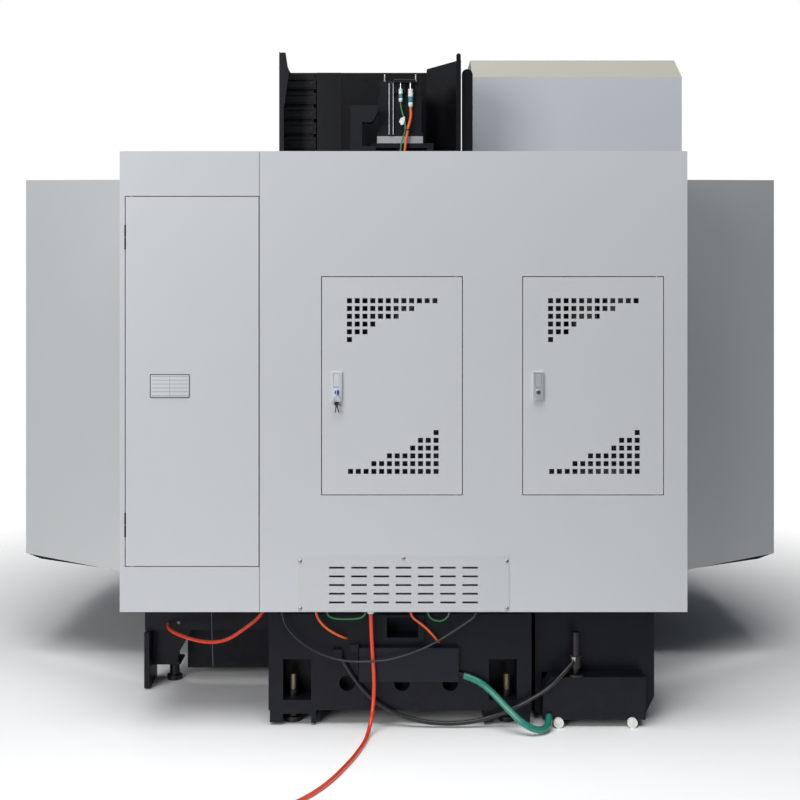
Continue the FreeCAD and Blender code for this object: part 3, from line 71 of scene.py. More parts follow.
# %% [markdown]
# The air hose leaves a gland under the cabinet, hangs to the floor and lies there in one loose bend. The other hoses
# and cables are held at both ends and sag between them. Each one is a smooth curve through a short list of control
# points, which is how a hose settles: its bends run into each other and no stretch is quite straight.

# %% Hose routes
ROUTES = {
    "air_hose": [
        (0.104, 1.146, 0.4108), (0.102, 1.146, 0.335), (0.097, 1.147, 0.255), (0.092, 1.149, 0.18),
        (0.093, 1.155, 0.115), (0.098, 1.171, 0.062), (0.106, 1.201, 0.027), (0.114, 1.245, 0.010),
        (0.122, 1.3, 0.0072), (0.137, 1.368, 0.0072), (0.154, 1.44, 0.0072), (0.179, 1.522, 0.0072),
        (0.207, 1.608, 0.0072), (0.243, 1.696, 0.0072), (0.291, 1.782, 0.0072), (0.352, 1.858, 0.0072),
        (0.426, 1.919, 0.0072), (0.512, 1.961, 0.0072), (0.606, 1.98, 0.0072), (0.702, 1.975, 0.0072),
        (0.794, 1.947, 0.0072), (0.876, 1.899, 0.0072)],
    "beam_hose": [
        (0.913, 0.665, 0.245), (0.909, 0.7, 0.2435), (0.89, 0.738, 0.24), (0.86, 0.768, 0.235),
        (0.824, 0.795, 0.23), (0.785, 0.818, 0.226), (0.745, 0.838, 0.224), (0.705, 0.856, 0.227),
        (0.668, 0.872, 0.237), (0.634, 0.886, 0.254), (0.602, 0.898, 0.277), (0.572, 0.908, 0.301),
        (0.547, 0.915, 0.32), (0.525, 0.92, 0.341), (0.508, 0.923, 0.366), (0.499, 0.924, 0.394),
        (0.496, 0.924, 0.418)],
    "black_hose": [
        (0.205, 1.121, 0.236), (0.176, 1.122, 0.188), (0.143, 1.124, 0.144), (0.106, 1.126, 0.106),
        (0.065, 1.128, 0.075), (0.02, 1.13, 0.051), (-0.03, 1.132, 0.033), (-0.084, 1.134, 0.021),
        (-0.14, 1.135, 0.015), (-0.198, 1.136, 0.015), (-0.256, 1.136, 0.021), (-0.314, 1.135, 0.034),
        (-0.37, 1.134, 0.053), (-0.424, 1.136, 0.078), (-0.474, 1.14, 0.107), (-0.522, 1.144, 0.138),
        (-0.566, 1.143, 0.177), (-0.598, 1.125, 0.206)],
    "coolant_hose": [
        (-0.228, 1.123, 0.182), (-0.277, 1.131, 0.169), (-0.323, 1.15, 0.136), (-0.366, 1.178, 0.097),
        (-0.408, 1.205, 0.061), (-0.434, 1.218, 0.042), (-0.462, 1.222, 0.027), (-0.489, 1.215, 0.019),
        (-0.511, 1.199, 0.018), (-0.526, 1.175, 0.025), (-0.532, 1.138, 0.042)],
}
CABLES = {
    "orange_cable_left": [
        (0.301, 1.14, 0.418), (0.296, 1.142, 0.398), (0.282, 1.144, 0.376), (0.262, 1.145, 0.357),
        (0.238, 1.144, 0.341), (0.214, 1.14, 0.328), (0.197, 1.13, 0.318), (0.19, 1.1116, 0.313)],
    "orange_cable_right": [
        (-0.037, 1.14, 0.418), (-0.0395, 1.141, 0.404), (-0.049, 1.142, 0.391), (-0.064, 1.143, 0.38),
        (-0.081, 1.144, 0.368), (-0.098, 1.144, 0.353), (-0.114, 1.144, 0.336), (-0.128, 1.141, 0.319),
        (-0.137, 1.131, 0.305), (-0.141, 1.1116, 0.297)],
    "green_cable_left": [
        (0.262, 1.13, 0.418), (0.2605, 1.13, 0.406), (0.254, 1.1305, 0.3965), (0.243, 1.131, 0.3905),
        (0.229, 1.131, 0.3875), (0.211, 1.131, 0.3865), (0.192, 1.131, 0.3862), (0.173, 1.131, 0.3865),
        (0.155, 1.131, 0.3875), (0.141, 1.131, 0.3905), (0.13, 1.1305, 0.3965), (0.1235, 1.13, 0.406),
        (0.122, 1.13, 0.418)],
    "green_cable_right": [
        (-0.098, 1.128, 0.418), (-0.1, 1.129, 0.402), (-0.111, 1.13, 0.388), (-0.128, 1.131, 0.38),
        (-0.147, 1.131, 0.379), (-0.165, 1.13, 0.387), (-0.175, 1.129, 0.402), (-0.177, 1.128, 0.418)],
    "black_cable": [
        (0.42, 1.15, 0.418), (0.414, 1.151, 0.385), (0.394, 1.152, 0.351), (0.364, 1.152, 0.32),
        (0.328, 1.152, 0.293), (0.288, 1.152, 0.27), (0.244, 1.153, 0.253), (0.197, 1.154, 0.243),
        (0.149, 1.155, 0.24), (0.06, 1.164, 0.246), (0.01, 1.16, 0.256), (-0.036, 1.155, 0.269),
        (-0.076, 1.152, 0.284), (-0.11, 1.151, 0.3), (-0.141, 1.151, 0.317), (-0.171, 1.152, 0.336),
        (-0.2, 1.152, 0.355), (-0.228, 1.152, 0.373), (-0.252, 1.152, 0.389), (-0.267, 1.152, 0.404),
        (-0.272, 1.152, 0.418)],
    "grey_wire": [
        (0.729, 0.78, 0.418), (0.728, 0.781, 0.376), (0.726, 0.781, 0.331), (0.7245, 0.7806, 0.287),
        (0.724, 0.779, 0.243), (0.722, 0.779, 0.199), (0.721, 0.78, 0.156), (0.719, 0.78, 0.114)],
}
print("routes:", len(ROUTES) + len(CABLES))


# %% Turn a route into a hose
def smooth_curve(name, points, radius):
    """A round curve whose control points are the route's points."""
    data = bpy.data.curves.new(name, "CURVE")
    data.dimensions = "3D"
    data.bevel_depth = radius
    data.bevel_resolution = 5
    data.resolution_u = 10
    data.use_fill_caps = True
    spline = data.splines.new("NURBS")
    spline.points.add(len(points) - 1)
    for point, place in zip(spline.points, points):
        point.co = (*place, 1.0)
    spline.order_u = 3
    spline.use_endpoint_u = True
    piece = bpy.data.objects.new(name, data)
    scene.collection.objects.link(piece)
    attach(piece, "frame")
    return piece


def line_length(piece):
    """The length of a curve's own line."""
    data = piece.data
    bevel = data.bevel_depth
    data.bevel_depth = 0.0
    mesh = bpy.data.meshes.new_from_object(piece.evaluated_get(bpy.context.evaluated_depsgraph_get()))
    data.bevel_depth = bevel
    length = sum((mesh.vertices[a].co - mesh.vertices[b].co).length for a, b in (e.vertices for e in mesh.edges))
    bpy.data.meshes.remove(mesh)
    return length


hoses = {}


def lay_cord(name, route, radius, stands_for=None):
    """Make one hose or cable, hide the model's piece that it stands for, and say what it is and how long."""
    piece = smooth_curve(name, route, radius)
    if stands_for:
        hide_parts(stands_for)
    length = line_length(piece)
    2 * radius
    print(name, "is %.2f m long" % length)
    return piece


HOSES = {
    "air_hose": (0.007, "orange_hose", "fitting", "medium", "loose", [nodes["air_hose_fitting"]]),
    "beam_hose": (0.007, "orange_hose", "object", "medium", "hanging", []),
    "black_hose": (0.008, "black_rubber", "object", "medium", "hanging", []),
    "coolant_hose": (0.012, "green_hose", "object", "limp", "hanging", []),
}
CABLE_RADIUS = 0.004
THIN_CABLES = {"green_cable_left": 0.003, "green_cable_right": 0.003, "grey_wire": 0.002}
for name, (radius, slot, far_end, stiffness, lay, ends) in HOSES.items():
    hoses[name] = lay_cord(name + "_line", ROUTES[name], radius, name)
for name, route in CABLES.items():
    hoses[name] = lay_cord(name, route, THIN_CABLES.get(name, CABLE_RADIUS), "small_cables")

# %% [markdown]
# The floor is a round pale slab that fades into the white room at its edge. Two large soft lamps, one above and one
# behind the viewer, give an even light with faint shadows. The room is plain white to the eye but gives less light
# than it shows, as a cut-out backdrop does, so the far side of the machine keeps its shade.

# %% Floor and light
FLOOR_RADIUS, FLOOR_SIDES = 4.6, 96
floor_data = bpy.data.meshes.new("floor")
floor_data.from_pydata([(FLOOR_RADIUS * math.cos(2 * math.pi * i / FLOOR_SIDES),
                         FLOOR_RADIUS * math.sin(2 * math.pi * i / FLOOR_SIDES), 0.0) for i in range(FLOOR_SIDES)],
                       [], [tuple(range(FLOOR_SIDES))])
floor_data.update()
floor = bpy.data.objects.new("floor", floor_data)
scene.collection.objects.link(floor)
world = bpy.data.worlds.new("white room")
scene.world = world
world.use_nodes = True
tree = world.node_tree
sky = tree.nodes["Background"]
sky.inputs["Color"].default_value = (0.78, 0.89, 1.0, 1.0)
sky.inputs["Strength"].default_value = 0.12
backdrop = tree.nodes.new("ShaderNodeBackground")
backdrop.inputs["Color"].default_value = (1.0, 1.0, 1.0, 1.0)
seen = tree.nodes.new("ShaderNodeLightPath")
choose = tree.nodes.new("ShaderNodeMixShader")
tree.links.new(seen.outputs["Is Camera Ray"], choose.inputs[0])
tree.links.new(sky.outputs[0], choose.inputs[1])
tree.links.new(backdrop.outputs[0], choose.inputs[2])
tree.links.new(choose.outputs[0], tree.nodes["World Output"].inputs["Surface"])


def soft_lamp(name, place, aim, size, watts):
    data = bpy.data.lights.new(name, "AREA")
    data.shape = "SQUARE"
    data.size = size
    data.energy = watts
    lamp = bpy.data.objects.new(name, data)
    lamp.location = place
    lamp.rotation_euler = (Vector(aim) - Vector(place)).to_track_quat("-Z", "Y").to_euler()
    scene.collection.objects.link(lamp)


soft_lamp("overhead", (0.6, 2.6, 7.0), (0.2, 1.0, 0.0), 6.0, 470.0)
soft_lamp("behind_viewer", (4.6, 9.0, 3.4), (0.0, 1.0, 1.3), 4.5, 410.0)

# %% [markdown]
# Shaders are graphs of small sums. The class below wraps one socket, so that graph arithmetic reads like ordinary
# arithmetic: `noise * 0.2 + 0.5` adds two Math nodes and links them.

# %% Shader arithmetic
class Sock:
    """An output socket, or a plain number, in the graph of one material."""

    def __init__(self, graph, link):
        self.graph = graph
        self.link = link

    def math(self, operation, *others, clamp=False):
        return self.graph.node("ShaderNodeMath", {"operation": operation, "use_clamp": clamp},
                               self, *others)["Value"]

    def __add__(self, other):
        return self.math("ADD", other)

    def __radd__(self, other):
        return Sock(self.graph, other).math("ADD", self)

    def __sub__(self, other):
        return self.math("SUBTRACT", other)

    def __rsub__(self, other):
        return Sock(self.graph, other).math("SUBTRACT", self)

    def __mul__(self, other):
        return self.math("MULTIPLY", other)

    def __rmul__(self, other):
        return Sock(self.graph, other).math("MULTIPLY", self)

    def __truediv__(self, other):
        return self.math("DIVIDE", other)

    def __rtruediv__(self, other):
        return Sock(self.graph, other).math("DIVIDE", self)

    def __pow__(self, other):
        return self.math("POWER", other)

    def __neg__(self):
        return 0.0 - self

    def __abs__(self):
        return self.math("ABSOLUTE")

    def __gt__(self, other):
        return self.math("GREATER_THAN", other)

    def __lt__(self, other):
        return self.math("LESS_THAN", other)

    def clamped(self):
        return self.math("ADD", 0.0, clamp=True)

    def spread(self, low, high, to_low=0.0, to_high=1.0):
        """Carry a range of values over to another range, held at both ends."""
        return self.graph.node("ShaderNodeMapRange", {"clamp": True}, Value=self, From_Min=low, From_Max=high,
                               To_Min=to_low, To_Max=to_high)["Result"]


class Graph:
    """The graph of one material."""

    def __init__(self, name):
        self.material = bpy.data.materials.new(name)
        self.material.use_nodes = True
        self.tree = self.material.node_tree
        self.shader = self.tree.nodes["Principled BSDF"]

    def node(self, kind, settings=None, *values, **named):
        """Add any node: its type, then its settings, then what its inputs take."""
        node = self.tree.nodes.new(kind)
        for key, value in (settings or {}).items():
            setattr(node, key, value)
        for place, value in enumerate(values):
            self.feed(node.inputs[place], value)
        for key, value in named.items():
            self.feed(self.find(node, key.replace("_", " ")), value)
        return {out.name: Sock(self, out) for out in node.outputs if out.enabled}

    @staticmethod
    def find(node, name):
        return next(socket for socket in node.inputs if socket.name == name and socket.enabled)

    def feed(self, socket, value):
        if isinstance(value, Sock):
            value = value.link
        if isinstance(value, bpy.types.NodeSocket):
            self.tree.links.new(value, socket)
        elif isinstance(value, tuple) and len(value) == 3 and socket.type == "RGBA":
            socket.default_value = (*value, 1.0)
        else:
            socket.default_value = value

    def set(self, **inputs):
        """Feed or set inputs of the surface shader."""
        for key, value in inputs.items():
            self.feed(self.shader.inputs[key.replace("_", " ")], value)
        return self

    def place(self):
        """Where on the piece a point is, in metres."""
        return self.node("ShaderNodeTexCoord")["Object"]

    def noise(self, where, scale, detail=2.0, roughness=0.5):
        return self.node("ShaderNodeTexNoise", None, Vector=where, Scale=scale, Detail=detail,
                         Roughness=roughness)["Fac"]

    def stretched(self, where, factors):
        return self.node("ShaderNodeVectorMath", {"operation": "MULTIPLY"}, where, factors)["Vector"]

    def mix(self, factor, first, second):
        """Mix two colours."""
        node = self.tree.nodes.new("ShaderNodeMix")
        node.data_type = "RGBA"
        for name, value in (("Factor", factor), ("A", first), ("B", second)):
            self.feed(self.find(node, name), value)
        return Sock(self, next(out for out in node.outputs if out.enabled))

    def parts(self, vector):
        split = self.node("ShaderNodeSeparateXYZ", None, vector)
        return split["X"], split["Y"], split["Z"]

    def bump(self, height, distance, strength=1.0):
        return self.node("ShaderNodeBump", None, Height=height, Distance=distance, Strength=strength)["Normal"]


def lit(red, green, blue):
    """A colour given as eye values 0 to 255, as the linear values that shaders work in."""
    def linear(value):
        value /= 255.0
        return value / 12.92 if value <= 0.04045 else ((value + 0.055) / 1.055) ** 2.4
    return tuple(round(linear(value), 4) for value in (red, green, blue))


print("a mid grey is", lit(128, 128, 128))

# %% [markdown]
# Painted sheet is never one flat colour. Powder coat has a fine orange-peel skin, its gloss drifts a little, and dust
# dulls the lower edges. Every paint below is mixed from those three things in its own amounts.

# %% Paints
def painted(name, colour, dusty, roughness=0.42, coat=0.12, peel=0.00012, peel_scale=520.0, grime=0.28,
            grime_height=0.5, shine=0.5):
    """Powder coat: a drifting tone, orange peel, and dust that thins out upward."""
    g = Graph(name)
    where = g.place()
    height = g.parts(where)[2]
    broad = g.noise(where, 1.7, 3.0)
    fine = g.noise(where, 34.0, 4.0, 0.6)
    low = height.spread(0.0, grime_height, 1.0, 0.0)
    dust = (low ** 2.0 * fine.spread(0.35, 0.75) * grime).clamped()
    drift = broad.spread(0.3, 0.7) * 0.16
    shade = tuple(c * 0.86 for c in colour)
    base = g.mix(drift, colour, shade)
    g.set(Base_Color=g.mix(dust, base, dusty), Roughness=fine * 0.12 + dust * 0.3 + (roughness - 0.06),
          Coat_Weight=coat, Coat_Roughness=0.22, Specular_IOR_Level=shine,
          Normal=g.bump(g.noise(where, peel_scale, 1.0), peel, 0.6))
    return g.material


DUST = lit(150, 143, 130)
PAINTS = {
    "light_paint": painted("light_paint", lit(205, 207, 207), DUST, shine=0.3),
    "cabinet_paint": painted("cabinet_paint", lit(203, 205, 208), DUST, grime_height=0.62, grime=0.16, shine=0.3),
    "door_paint": painted("door_paint", lit(205, 207, 209), DUST, grime=0.1, shine=0.3),
    "cover_paint": painted("cover_paint", lit(190, 194, 200), DUST, roughness=0.36, coat=0.2, shine=0.35),
    "navy_paint": painted("navy_paint", lit(19, 20, 28), lit(62, 60, 60), roughness=0.4, coat=0.05, peel=0.0003,
                          peel_scale=190.0, grime=0.2, grime_height=0.35, shine=0.18),
    "black_sheet": painted("black_sheet", lit(16, 16, 20), lit(62, 60, 60), roughness=0.3, coat=0.06, peel=0.0004,
                           peel_scale=260.0, grime=0.2, shine=0.25),
    "drain_paint": painted("drain_paint", lit(25, 26, 34), lit(70, 68, 66), roughness=0.42, coat=0.05, grime=0.2,
                           grime_height=0.3, shine=0.2),
    "vent_paint": painted("vent_paint", lit(200, 202, 203), DUST, roughness=0.46),
    "chamfer_paint": painted("chamfer_paint", lit(172, 168, 158), DUST, roughness=0.4, coat=0.1, shine=0.25),
    "panel_paint": painted("panel_paint", lit(54, 56, 62), DUST, roughness=0.5, coat=0.05),
}
print("paints:", ", ".join(PAINTS))


# %% [markdown]
# Moulded parts - motor covers, drive fronts, handles - carry a fine spark-eroded grain and slightly paler wear.

# %% Plastics and rubber
def moulded(name, colour, roughness=0.5, grain=900.0, depth=0.00008, coat=0.0, wear=0.12, shine=0.5):
    """Moulded plastic: a spark-eroded grain, and paler where it is worn."""
    g = Graph(name)
    where = g.place()
    broad = g.noise(where, 9.0, 3.0)
    pale = tuple(min(1.0, c * 1.25 + 0.012) for c in colour)
    g.set(Base_Color=g.mix(broad.spread(0.42, 0.8) * wear, colour, pale),
          Roughness=broad * 0.14 + (roughness - 0.07), Coat_Weight=coat, Coat_Roughness=0.1,
          Specular_IOR_Level=shine, Normal=g.bump(g.noise(where, grain, 1.0), depth, 0.5))
    return g.material


def hose_skin(name, colour, roughness, coat):
    """Extruded hose: glossy, with a faint grain and scuffs near the floor."""
    g = Graph(name)
    where = g.place()
    scuff = g.noise(where, 46.0, 4.0, 0.65)
    low = g.parts(where)[2].spread(0.0, 0.12, 1.0, 0.0)
    dusty = tuple(c * 0.8 + 0.03 for c in colour)
    g.set(Base_Color=g.mix(scuff.spread(0.45, 0.75) * (low * 0.25 + 0.1), colour, dusty),
          Roughness=scuff * 0.2 + (roughness - 0.1), Coat_Weight=coat, Coat_Roughness=0.06,
          Normal=g.bump(g.noise(where, 260.0, 2.0), 0.0002, 0.4))
    return g.material


PLASTICS = {
    "black_plastic": moulded("black_plastic", lit(24, 24, 27), 0.42),
    "motor_black": moulded("motor_black", lit(20, 20, 24), 0.26, grain=420.0, depth=0.00018, coat=0.3, shine=0.4),
    "chain_black": moulded("chain_black", lit(22, 22, 26), 0.4, coat=0.1, shine=0.3),
    "drive_plastic": moulded("drive_plastic", lit(232, 230, 221), 0.5),
    "nylon_white": moulded("nylon_white", lit(226, 226, 220), 0.38, grain=300.0, wear=0.3),
    "red_plastic": moulded("red_plastic", lit(190, 24, 20), 0.3, coat=0.4),
    "yellow_plastic": moulded("yellow_plastic", lit(235, 190, 30), 0.4),
    "blue_plastic": moulded("blue_plastic", lit(40, 84, 168), 0.34, coat=0.3),
    "teal_plastic": moulded("teal_plastic", lit(58, 138, 158), 0.36, coat=0.2),
    "green_plastic": moulded("green_plastic", lit(40, 140, 76), 0.36),
    "panel_plastic": moulded("panel_plastic", lit(58, 60, 66), 0.5),
    "key_plastic": moulded("key_plastic", lit(206, 206, 200), 0.45),
    "white_tie": moulded("white_tie", lit(232, 232, 228), 0.4),
    "orange_hose": hose_skin("orange_hose", lit(222, 62, 28), 0.3, 0.5),
    "black_rubber": hose_skin("black_rubber", lit(20, 20, 23), 0.4, 0.2),
    "green_hose": hose_skin("green_hose", lit(28, 124, 106), 0.28, 0.5),
    "orange_cable": hose_skin("orange_cable", lit(226, 96, 40), 0.4, 0.2),
    "green_cable": hose_skin("green_cable", lit(52, 128, 72), 0.4, 0.2),
    "grey_cable": hose_skin("grey_cable", lit(86, 88, 92), 0.5, 0.1),
}
print("plastics:", len(PLASTICS))


# %% [markdown]
# Metal tells its own story through the way its gloss runs: ground ways streak along their length, turned bars streak
# around, castings pit, and zinc plate clouds.

# %% Metals
def metal(name, colour, roughness, streak=(1.0, 1.0, 1.0), amount=0.14, stain=None, stain_share=0.0, pit=0.00005):
    """Bare metal: a gloss that runs in streaks, clouds of stain, and a fine pitting."""
    g = Graph(name)
    where = g.place()
    lines = g.noise(g.stretched(where, streak), 60.0, 3.0, 0.6)
    clouds = g.noise(where, 7.0, 4.0, 0.6)
    stain = stain or tuple(c * 0.6 for c in colour)
    share = (clouds.spread(0.45, 0.72) * stain_share + lines * 0.08).clamped()
    g.set(Base_Color=g.mix(share, colour, stain), Metallic=1.0 - share * 0.35,
          Roughness=(lines * amount + clouds * 0.08 + (roughness - amount / 2 - 0.04)).clamped(),
          Normal=g.bump(g.noise(where, 300.0, 2.0), pit, 0.5))
    return g.material


def galvanised(name):
    """Hot-dipped sheet: large pale spangles with clear edges."""
    g = Graph(name)
    where = g.place()
    spangle = g.node("ShaderNodeTexVoronoi", None, Vector=where, Scale=46.0)
    tone = Sock(g, g.node("ShaderNodeSeparateColor", None, Color=spangle["Color"])["Red"].link)
    cloud = g.noise(where, 5.0, 4.0)
    g.set(Base_Color=g.mix(tone * 0.6 + cloud * 0.3, lit(196, 200, 202), lit(148, 153, 158)),
          Metallic=0.85 - cloud * 0.2, Roughness=tone * 0.16 + 0.3,
          Normal=g.bump(tone, 0.0001, 0.4))
    return g.material


def cast_iron(name, colour, dusty):
    """Sand-cast iron under brushed enamel: a pebbled skin with bare rubbed places."""
    g = Graph(name)
    where = g.place()
    sand = g.noise(where, 230.0, 4.0, 0.6)
    swell = g.noise(where, 14.0, 3.0)
    low = g.parts(where)[2].spread(0.0, 0.42, 1.0, 0.0)
    dust = (low * sand.spread(0.4, 0.8) * 0.4).clamped()
    g.set(Base_Color=g.mix(dust, g.mix(swell * 0.5, colour, tuple(c * 0.6 for c in colour)), dusty),
          Roughness=swell * 0.16 + dust * 0.3 + 0.36, Coat_Weight=0.05, Coat_Roughness=0.25, Specular_IOR_Level=0.2,
          Normal=g.bump(sand * 0.35 + swell * 0.65, 0.0012, 0.4))
    return g.material


METALS = {
    "steel": metal("steel", lit(176, 178, 180), 0.3, streak=(14.0, 14.0, 0.8)),
    "ground_y": metal("ground_y", lit(190, 192, 194), 0.2, streak=(30.0, 0.6, 30.0), amount=0.16),
    "ground_x": metal("ground_x", lit(190, 192, 194), 0.2, streak=(0.6, 30.0, 30.0), amount=0.16),
    "ground_z": metal("ground_z", lit(190, 192, 194), 0.2, streak=(30.0, 30.0, 0.6), amount=0.16),
    "milled": metal("milled", lit(168, 171, 174), 0.3, streak=(0.5, 12.0, 12.0), amount=0.2, stain_share=0.25),
    "zinc": metal("zinc", lit(186, 188, 190), 0.34, stain=lit(150, 146, 128), stain_share=0.4),
    "satin_chrome": metal("satin_chrome", lit(228, 231, 235), 0.5, amount=0.1, pit=0.00002),
    "chrome": metal("chrome", lit(214, 216, 218), 0.12, amount=0.08, pit=0.00001),
    "aluminium": metal("aluminium", lit(196, 198, 200), 0.34, streak=(1.0, 40.0, 40.0), amount=0.2),
    "brass": metal("brass", lit(196, 158, 84), 0.28, stain=lit(122, 92, 52), stain_share=0.35),
    "black_steel": metal("black_steel", lit(62, 62, 66), 0.42, stain=lit(84, 66, 52), stain_share=0.2),
    "bare_stud": metal("bare_stud", lit(150, 142, 128), 0.46, stain=lit(112, 76, 50), stain_share=0.55),
    "galvanised": galvanised("galvanised"),
    "cast_iron": cast_iron("cast_iron", lit(20, 21, 29), lit(70, 68, 66)),
    "grey_iron": cast_iron("grey_iron", lit(84, 88, 94), lit(120, 114, 104)),
}
print("metals:", len(METALS))


# %% Glass, screen and print
def safety_glass():
    """Thick clear pane with a faint smear."""
    g = Graph("safety_glass")
    where = g.place()
    smear = g.noise(where, 6.0, 4.0, 0.6)
    g.set(Base_Color=g.mix(smear * 0.4, lit(60, 74, 78), lit(96, 108, 110)), Roughness=smear * 0.1 + 0.04,
          Alpha=0.34 + smear * 0.1, Coat_Weight=0.3)
    return g.material


def control_screen():
    """A dark screen with a soft glow, a column of rows and a narrow status band."""
    g = Graph("control_screen")
    across, _, up = g.parts(g.place())
    row = ((up * 36.0).math("FRACT") < 0.42) * (up > 1.475) * (up < 1.66)
    run = g.noise(g.stretched(g.place(), (26.0, 0.0, 0.0)), 5.0, 1.0) > 0.52
    band = (up > 1.67) * (up < 1.685)
    shown = (row * run * (across > 0.775) * (across < 1.0) + band).clamped()
    ink = g.mix(shown, lit(14, 22, 34), lit(118, 176, 190))
    g.set(Base_Color=ink, Emission_Color=ink, Roughness=g.noise(g.place(), 30.0) * 0.1 + 0.12)
    g.shader.inputs["Emission Strength"].default_value = 0.6
    return g.material


def plate_print(name, ground, ink, left, right, low, high, rows, margin=0.008):
    """A blank rating plate: ruled lines only, on a brushed sheet, in a face that looks to the rear."""
    g = Graph(name)
    across, _, up = g.parts(g.place())
    pitch = (high - low - 2 * margin) / rows
    line = abs(((up - (low + margin)) / pitch).math("FRACT") - 0.5) > 0.455
    inside = (across > left + margin) * (across < right - margin) * (up > low + margin / 2) * (up < high - margin / 2)
    middle = abs(across - (left + right) / 2) < 0.0004
    brush = g.noise(g.stretched(g.place(), (2.0, 60.0, 60.0)), 40.0, 3.0)
    printed = ((line + middle) * inside).clamped()
    sheet = g.mix(brush * 0.4, ground, tuple(c * 0.8 for c in ground))
    g.set(Base_Color=g.mix(printed, sheet, ink), Metallic=0.5 - printed * 0.5, Roughness=brush * 0.2 + 0.3)
    return g.material


PLATE_LEFT, PLATE_RIGHT, PLATE_LOW, PLATE_HIGH = 0.746, 0.888, 1.179, 1.264
PRINTS = {
    "safety_glass": safety_glass(),
    "control_screen": control_screen(),
    "rating_plate": plate_print("rating_plate", lit(206, 209, 212), lit(70, 74, 80), PLATE_LEFT, PLATE_RIGHT,
                                PLATE_LOW, PLATE_HIGH, rows=5),
}
MATERIALS = {**PAINTS, **PLASTICS, **METALS, **PRINTS}
print("materials:", len(MATERIALS))

# %% [markdown]
# Each hose takes the skin of its kind. A curve has no slot for paint until one is appended.

# %% Skins for the hoses
SKINS = {"air_hose": "orange_hose", "beam_hose": "orange_hose", "black_hose": "black_rubber",
         "coolant_hose": "green_hose", "orange_cable_left": "orange_cable", "orange_cable_right": "orange_cable",
         "green_cable_left": "green_cable", "green_cable_right": "green_cable", "black_cable": "black_rubber",
         "grey_wire": "grey_cable"}
for name, skin in SKINS.items():
    hoses[name].data.materials.append(MATERIALS[skin])
print("skinned:", len(SKINS))

# %% [markdown]
# The slab of the floor and the finishes of the model's own pieces. A folded sheet never has a knife edge, so a narrow
# bevel with hardened normals goes on each piece; it catches the thin bright line that a real fold shows.

# %% The floor's finish
floor_graph = Graph("pale_floor")
floor_where = floor_graph.place()
floor_tone = floor_graph.noise(floor_where, 0.8, 3.0)
reach = floor_graph.node("ShaderNodeVectorMath", {"operation": "LENGTH"}, floor_where)["Value"]
floor_graph.set(Base_Color=floor_graph.mix(floor_tone * 0.2, lit(252, 252, 252), lit(244, 244, 245)),
                Roughness=floor_tone * 0.1 + 0.55, Alpha=reach.spread(1.7, 3.6, 1.0, 0.0), Specular_IOR_Level=0.2)
floor.data.materials.append(floor_graph.material)

# %% Finishes for the castings and sheets
def fold(piece, width, angle):
    """Round every edge that is sharper than the angle, in degrees."""
    bevel = piece.modifiers.new("fold", "BEVEL")
    bevel.width = width
    bevel.segments = 2
    bevel.limit_method = "ANGLE"
    bevel.angle_limit = math.radians(angle)
    bevel.harden_normals = True


# A finish and the width of its folds, with the nodes that have them
FINISHES = {
    ("navy_paint", 0.004): ("base_casting", "column", "spindle_head"),
    ("black_steel", 0.0008): ("levelling_feet",),
    ("ground_y", 0.0008): ("fixed_rails",),
    ("cast_iron", 0.0015): ("screw_bearings",),
    ("motor_black", 0.003): ("y_motor", "z_motor", "x_motor"),
    ("cast_iron", 0.002): ("z_motor_mount",),
    ("navy_paint", 0.003): ("magazine_bracket", "saddle"),
    ("cover_paint", 0.003): ("magazine_cover",),
    ("black_sheet", 0.0008): ("top_guard",),
    ("chain_black", 0.0015): ("cable_chain",),
    ("light_paint", 0.002): ("enclosure_right", "enclosure_left", "enclosure_front"),
    ("navy_paint", 0.0): ("chip_pan",),
    ("cabinet_paint", 0.0012): ("electrical_cabinet",),
    ("vent_paint", 0.0003): ("vent_panel",),
    ("galvanised", 0.0005): ("mounting_plate",),
    ("drive_plastic", 0.002): ("servo_drives",),
    ("navy_paint", 0.0015): ("cabinet_leg", "coolant_tank"),
    ("black_steel", 0.0006): ("coolant_pump",),
    ("drain_paint", 0.001): ("drain_box",),
    ("panel_paint", 0.002): ("control_panel",),
    ("brass", 0.0006): ("air_hose_fitting",),
    ("ground_x", 0.0008): ("x_rails",),
    ("steel", 0.001): ("y_carriages", "x_carriages", "z_carriages"),
    ("milled", 0.001): ("table",),
    ("motor_black", 0.002): ("spindle_motor",),
    ("steel", 0.0008): ("spindle",),
    ("ground_x", 0.0): ("x_screw",),
    ("ground_y", 0.0): ("y_screw",),
    ("ground_z", 0.0): ("z_screw",),
    ("grey_iron", 0.002): ("magazine_carriage",),
    ("aluminium", 0.0008): ("tool_disc",),
    ("chrome", 0.0): ("tool_holders",),
    ("door_paint", 0.0012): ("front_door_left", "front_door_right"),
    ("red_plastic", 0.0008): ("e_stop",),
    ("black_plastic", 0.0006): ("override_knob",),
    ("door_paint", 0.0008): ("tall_door",),
    ("door_paint", 0.0004): ("vent_door_a", "vent_door_b"),
    ("satin_chrome", 0.0006): ("lever_a", "lever_b"),
    ("nylon_white", 0.0008): ("wheelset_a", "wheelset_b"),
}
bevelled = 0
for (finish, width), names in FINISHES.items():
    for name in names:
        piece = nodes[name]
        piece.data.materials.clear()
        piece.data.materials.append(MATERIALS[finish])
        if width:
            fold(piece, width, 40)
            bevelled += 1
print("finished:", sum(len(names) for names in FINISHES.values()), "bevelled:", bevelled)
